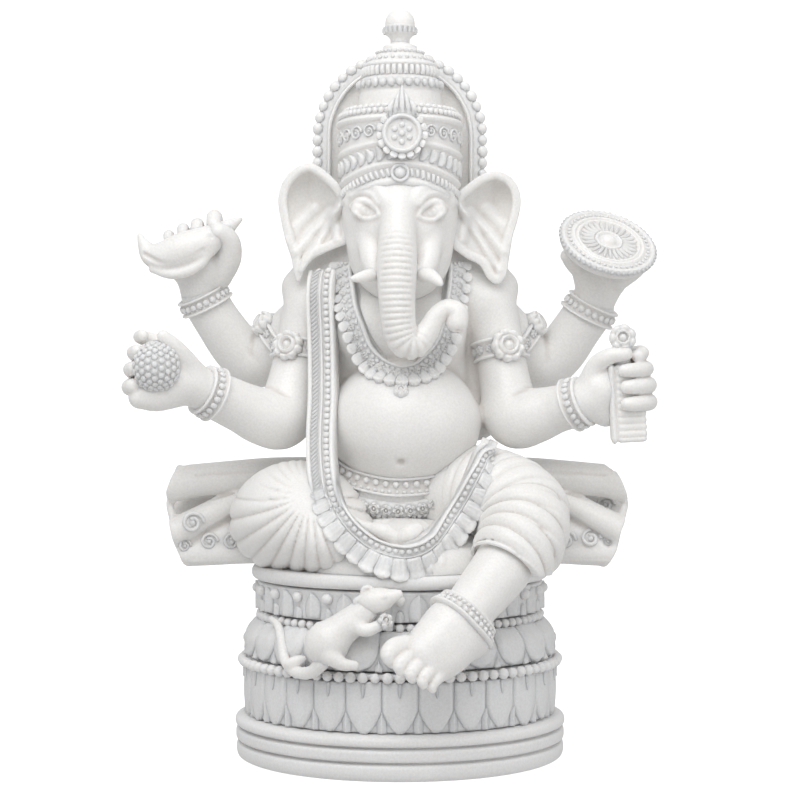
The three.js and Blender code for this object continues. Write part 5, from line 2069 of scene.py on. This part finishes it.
class IDOL_OT_garland(bpy.types.Operator):
    """Make the long garland: a strap from the shoulder and a petalled loop over the lap"""

    bl_idname = "idol.garland"
    bl_label = "Garland"

    def execute(self, context):
        form = together(0.8, dress_form(), limb(RIGHT_FRONT_ARM))
        given = settings("idol_jewellery")
        strap = [
            (-23.8, -6, 149.4), (-24.3, -8, 146), (-24.5, -10, 140.5), (-24, -11.5, 130), (-23.7, -14, 120),
            (-23.6, -18.5, 110.3), (-23.9, -23, 100.8), (-23.6, -27, 92), (-22.4, -33, 84),
            (-19.9, -38, 76.9),
        ]
        loop = [
            (-23.6, 90), (-22.1, 83.6), (-19.5, 76.9), (-15.2, 71.3), (-9.6, 66.6), (-4.8, 64.4),
            (-0.1, 63.6), (4.8, 64.4), (9.3, 66.6), (14.9, 72.2), (19.9, 79.2), (23.4, 86), (25.6, 91),
            (26.8, 95),
        ]

        def on(places, lift, wide):
            """A smooth line that lies in front of all that is under its width."""
            line = smooth_line(places, 10)
            sides = [front_of(form, line[:, 0] + shift, line[:, 2])[:, 1] for shift in (-wide, 0, wide)]
            line[:, 1] = np.minimum(line[:, 1], np.min(sides, 0))
            for _ in range(90):
                line[1:-1, 1] = np.minimum(line[1:-1, 1], (line[:-2, 1] + line[2:, 1]) / 2)
            run = np.gradient(line, axis=0)
            rise = np.clip(-run[:, 1] * 0.3 / np.abs(run[:, 2] + 1e-3), -0.6, 0.6)
            out = np.column_stack([line[:, 0] * 0.012, np.full(len(line), -1.0), rise])
            for _ in range(8):
                out[1:-1] = (out[:-2] + out[1:-1] + out[2:]) / 3
            return Path(line - [0, lift, 0], out)

        hang, lap = on(strap, 0.3, 3), on([(x, 0, z) for x, z in loop], 0.5, 1.5)
        along = np.linspace(0, 1, len(lap.points))
        width = np.interp(along, (0, 0.2, 0.5, 0.8, 1), (8, 9.4, 10.4, 9.4, 7.6)) / 9
        finished(joined("garland-beaded", [
            ribbon("strap", hang, LIPPED_BAND, 8.4, 1.2, 4.0),
            ribbon("divide", hang.beside(0.3, 0.5), ROUND_BAND, 0.7, 0.8),
            row("strap beads", hang.beside(2.2, 0.7), bead, given.garland_beads, (2.0, 2.1, 1.9)),
            row("weave", hang.beside(-1.9, 0.45), flute, 62, (1.1, 3.0, 0.35), slant=40),
            ribbon("loop", lap, ROUND_BAND, 8.4 * width, 0.9, 3.5),
            ribbon("loop lip", lap.beside(4.0 * width, 0.4), ROUND_BAND, 0.9, 1.1),
            ribbon("loop divide", lap.beside(1.2 * width, 0.4), ROUND_BAND, 0.7, 0.9),
            row("loop beads", lap.beside(2.6 * width, 0.7), bead, 50, (1.9, 1.8, 1.8)),
            row("loop petals", lap.beside(-2.2 * width, 0.5), shell_petal, given.garland_petals,
                (5.4, 6.0, 1.8), 180, girth=width),
        ]), "carved", "garland")
        return {"FINISHED"}


class IDOL_OT_belts(bpy.types.Operator):
    """Make the beaded waist belt and the flowered frieze under it"""

    bl_idname = "idol.belts"
    bl_label = "Waist belt and frieze"

    def execute(self, context):
        line = self.on_body(
            [(-21, 89.6), (-15.5, 86.7), (-8, 84.8), (-0.1, 84), (12.3, 85.2), (18, 88), (22.9, 91.4)]
        )
        finished(joined("waist-belt-beaded", [
            ribbon("band", line, LIPPED_BAND, 5.6, 1.5),
            row("beads", line.beside(0.8, 1.0), bead, 31, (2.0, 2.0, 2.0)),
            row("small beads", line.beside(-1.5, 1.0), bead, 44, (1.3, 1.2, 1.2)),
            ribbon("border", line.beside(3.6, 0.1), ROUND_BAND, 0.9, 0.9),
        ]), "carved", "waist_belt")
        line = self.on_body(
            [(-19, 81.4), (-14.6, 79.5), (-7, 77.8), (-0.1, 77.1), (7, 78), (13.3, 80.4), (18, 83.4)]
        )
        finished(joined("hip-frieze-flowered", [
            ribbon("band", line, ROUND_BAND, 4.6, 1.0),
            row("flowers", line.beside(0, 0.8), (rosette, 5), 13, (3.9, 3.9, 1.6)),
            row("scallops", line.beside(-2.2, 0.2), bead, 26, (1.7, 1.5, 1.4)),
        ]), "carved", "hip_frieze")
        return {"FINISHED"}

    def on_body(self, places):
        """A line across the front of the body, through places of (x, z)."""
        form = torso_form()
        return path_on(form, front_of(form, *np.array(places).T), 0.4, steps=8)


# ---- operator: the pedestal


class IDOL_OT_pedestal(bpy.types.Operator):
    """Make the round pedestal: plinth, two tiers of lotus petals, bead rings, leaf collar and seat"""

    bl_idname = "idol.pedestal"
    bl_label = "Pedestal"

    def execute(self, context):
        given = settings("idol_pedestal")
        relief = given.petal_relief / MM
        self.plinth()
        self.lower_tier(given.lower_petals, relief)
        self.bead_ring("middle_bead_ring", 30.2, 49.0, 1.6, given.middle_beads)
        self.upper_tier(given.upper_petals, relief)
        self.bead_ring("upper_bead_ring", 44.1, 43.6, 1.35, given.upper_beads)
        self.collar(given.leaves)
        self.seat()
        return {"FINISHED"}

    def plinth(self):
        """Three rounded steps that widen a little towards the floor."""
        r = PLINTH_RADIUS
        profile = [
            (r - 4, FLOOR), (r - 2.2, FLOOR + 0.1), (r - 0.7, FLOOR + 1.0), (r - 0.3, 2.6), (r - 0.4, 4.4),
            (r - 0.9, 5.0), (r - 2.2, 5.3), (r - 2.2, 5.7), (r - 0.7, 6.0), (r - 0.2, 6.5), (r - 0.2, 8.8),
            (r - 0.7, 9.4), (r - 2.2, 9.7), (r - 2.2, 10.1), (r - 0.6, 10.4), (r, 10.9), (r, 12.3),
            (r - 0.6, 13.1), (r - 2, PLINTH_TOP), (r - 6, PLINTH_TOP),
        ]
        finished(turned("plinth-stepped", softened(profile), sides=192), "pedestal", "plinth")

    def stepped(self, line, count):
        """A ring of count things turned by half a step."""
        across, along = math.cos(math.pi / count), math.sin(math.pi / count)
        spin = np.array([[across, along, 0], [-along, across, 0], [0, 0, 1]])
        return Path(line.points @ spin, line.outward @ spin, True)

    def lower_tier(self, count, relief):
        """Hanging petals with leaf tips and ribs between them."""
        profile = [(46.2, 13.9), (47.0, 14.4), (47.0, 18), (47.1, 24), (47.2, 28), (46, 28.9)]
        wide = 2 * math.pi * 48.6 / count
        line = ring_path(46.9, 21.4)
        tips = self.stepped(line, count).beside(-4.2, -0.2)
        finished(joined("lower-lotus-petals", [
            turned("tier", softened(profile), sides=192),
            row("petals", line, lotus_petal, count, (wide * 0.97, 14.6, relief)),
            row("inner tips", tips, leaf, count, (wide * 0.42, 6.4, relief * 0.8)),
            row("mid ribs", line.beside(5.0, relief * 0.8), leaf, count, (wide * 0.16, 4.2, 0.5), slant=180),
        ]), "pedestal", "lower_lotus_tier")

    def upper_tier(self, count, relief):
        """Broad cupped petals on a slope that draws in towards the seat."""
        profile = [(45.2, 31.7), (46.9, 32.0), (47.2, 34.4), (46.4, 38.2), (44.2, 41.6), (41, 42.8)]
        foot, head = np.array([47.4, 32.0]), np.array([42.9, 42.6])
        middle, way = (foot + head) / 2, head - foot
        wide = 2 * math.pi * middle[0] / count
        line = ring_path(middle[0] - 0.1, middle[1], out_z=-way[0] / way[1])
        tips = self.stepped(line, count).beside(-3.6, 0)
        finished(joined("upper-lotus-petals", [
            turned("tier", softened(profile), sides=192),
            row("petals", line, cup_petal, count, (wide * 0.98, 11.6, relief * 1.25)),
            row("inner tips", tips, leaf, count, (wide * 0.3, 4.6, relief * 0.7)),
        ]), "pedestal", "upper_lotus_tier")

    def bead_ring(self, node, z, radius, size, count):
        """A string of beads in a groove."""
        profile = [
            (radius - 4, z - 1.0), (radius - 1.9, z - 0.9), (radius - 1.5, z), (radius - 1.9, z + 0.9),
            (radius - 4, z + 1.0),
        ]
        size = (2 * size, 2 * size, 2.3 * size)
        finished(joined(node.replace("_", "-") + "-turned", [
            turned("ring", softened(profile), sides=144),
            row("beads", ring_path(radius - 0.3, z), bead, count, size, uneven=0.07),
        ]), "pedestal", node)

    def collar(self, count):
        """Leaves that stand round the collar, with a pearl over each gap."""
        profile = [(41.6, 45.5), (43.4, 45.8), (43.6, 47), (43.4, 50), (43.8, 53), (44.2, 54.5), (42, 54.8)]
        wide = 2 * math.pi * 43.8 / count
        line = ring_path(43.4, 50.0)
        finished(joined("leaf-collar-carved", [
            turned("collar", softened(profile), sides=192),
            row("pearls", ring_path(44.4, 52.2), (bead, 12), count, (3.3, 3.3, 3.3), uneven=0.05),
            row("leaves", self.stepped(line, count), leaf, count, (wide * 0.82, 7.6, 1.7)),
            row("low leaves", line.beside(-2.4, 0), leaf, count, (wide * 0.36, 3.4, 1.4)),
        ]), "pedestal", "leaf_collar")

    def seat(self):
        """The plain slab that the figure sits on."""
        r = SEAT_RADIUS
        profile = [
            (r - 4, SEAT_BOTTOM + 0.1), (r - 1.2, SEAT_BOTTOM + 0.2), (r - 0.3, SEAT_BOTTOM + 1), (r, 57.0),
            (r - 0.2, 58.4), (r - 1.0, SEAT_TOP - 0.1), (r - 2.6, SEAT_TOP), (r - 8, SEAT_TOP),
        ]
        finished(turned("seat-slab-rounded", softened(profile), sides=144), "pedestal", "seat_slab")


# ---- operators: the stage


class IDOL_OT_stage(bpy.types.Operator):
    """Set the pale floor and backdrop, the soft lights and the camera"""

    bl_idname = "idol.stage"
    bl_label = "Stage"

    def execute(self, context):
        given = settings("idol_stage")
        self.backdrop(given)
        self.lights(given)
        self.surround(given)
        context.scene.view_settings.view_transform = "Standard"
        camera_data = bpy.data.cameras.new("camera")
        camera_data.lens = given.lens
        camera_data.sensor_width = 36
        camera = bpy.data.objects.new("camera", camera_data)
        camera.location = (0, -given.camera_distance, given.camera_height)
        look = Vector((0, 0, given.aim_height)) - camera.location
        camera.rotation_euler = look.to_track_quat("-Z", "Y").to_euler()
        context.scene.collection.objects.link(camera)
        context.scene.camera = camera
        return {"FINISHED"}

    def surround(self, given):
        """An even light from all round, which the camera sees as plain white."""
        world = bpy.data.worlds.new("surround")
        world.use_nodes = True
        node = planted(world.node_tree)
        seen = node("ShaderNodeLightPath", -400, 0).outputs["Is Camera Ray"]
        values = {"Value": seen, "To Min": given.world_strength, "To Max": 1.0}
        strength = node("ShaderNodeMapRange", -200, 0, values)
        shade = world.node_tree.nodes["Background"].inputs
        shade["Color"].default_value = (1, 1, 1, 1)
        world.node_tree.links.new(strength.outputs["Result"], shade["Strength"])
        bpy.context.scene.world = world

    def backdrop(self, given):
        """A floor that sweeps up behind the idol in one surface."""
        wide, near, far, tall, bend = 6.0, -4.0, 1.6, 4.0, 0.9
        line = [(near, 0.0), (far - bend, 0.0)]
        for turn in np.linspace(0.1, math.pi / 2, 14):
            line.append((far - bend + bend * math.sin(turn), bend - bend * math.cos(turn)))
        line.append((far, tall))
        points = [(x, y, z) for y, z in line for x in (-wide, wide)]
        faces = [(2 * i, 2 * i + 1, 2 * i + 3, 2 * i + 2) for i in range(len(line) - 1)]
        sweep = mesh_object("backdrop", np.array(points) / MM, faces)
        paint = bpy.data.materials.new("backdrop")
        paint.use_nodes = True
        matte = paint.node_tree.nodes["Principled BSDF"].inputs
        matte["Base Color"].default_value = (*given.backdrop_colour, 1)
        matte["Roughness"].default_value = 0.9
        matte["Emission Color"].default_value = (1, 1, 1, 1)
        matte["Emission Strength"].default_value = given.backdrop_glow
        sweep.data.materials.append(paint)
        sweep.visible_diffuse = False
        sweep.visible_glossy = False

    def lights(self, given):
        """A large soft light above in front, and a weaker one to the side."""
        for name, place, power in (
            ("key", (-0.1, -0.46, 0.66), given.key_power),
            ("fill", (0.9, -0.8, 0.4), given.fill_power),
        ):
            data = bpy.data.lights.new(name, "AREA")
            data.shape = "DISK"
            data.size = 0.7
            data.energy = power
            lamp = bpy.data.objects.new(name, data)
            lamp.location = place
            lamp.rotation_euler = (Vector((0, 0, 0.11)) - lamp.location).to_track_quat("-Z", "Y").to_euler()
            bpy.context.scene.collection.objects.link(lamp)


# ---- the panel and the order of work

GROUPS = {
    "idol_materials": IdolMaterials,
    "idol_sculpt": IdolSculpt,
    "idol_pedestal": IdolPedestal,
    "idol_jewellery": IdolJewellery,
    "idol_stage": IdolStage,
}
OPERATORS = [
    IDOL_OT_body,
    IDOL_OT_head,
    IDOL_OT_hands,
    IDOL_OT_legs,
    IDOL_OT_seat_cloth,
    IDOL_OT_held,
    IDOL_OT_mouse,
    IDOL_OT_crown,
    IDOL_OT_halo,
    IDOL_OT_arm_rings,
    IDOL_OT_necklace,
    IDOL_OT_garland,
    IDOL_OT_belts,
    IDOL_OT_pedestal,
    IDOL_OT_stage,
]


class IDOL_PT_panel(bpy.types.Panel):
    """The idol's pieces, in the order they are made"""

    bl_idname = "IDOL_PT_panel"
    bl_label = "Ganesha idol"
    bl_space_type = "VIEW_3D"
    bl_region_type = "UI"
    bl_category = "Idol"

    def draw(self, context):
        for operator in OPERATORS:
            self.layout.operator(operator.bl_idname)
        for name, group in GROUPS.items():
            box = self.layout.box()
            box.label(text=group.__doc__)
            for key in group.__annotations__:
                box.prop(getattr(context.scene, name), key)


def register():
    for name, group in GROUPS.items():
        bpy.utils.register_class(group)
        setattr(bpy.types.Scene, name, bpy.props.PointerProperty(type=group))
    for made in [*OPERATORS, IDOL_PT_panel]:
        bpy.utils.register_class(made)


def unregister():
    for made in [IDOL_PT_panel, *reversed(OPERATORS)]:
        bpy.utils.unregister_class(made)
    for name, group in GROUPS.items():
        delattr(bpy.types.Scene, name)
        bpy.utils.unregister_class(group)


def main():
    """Makes every piece in turn."""
    register()
    for operator in OPERATORS:
        group, action = operator.bl_idname.split(".")
        getattr(getattr(bpy.ops, group), action)()
    for made in [o for o in bpy.data.objects if o.name.startswith("motif-")]:
        bpy.data.objects.remove(made)


if __name__ == "__main__":
    main()
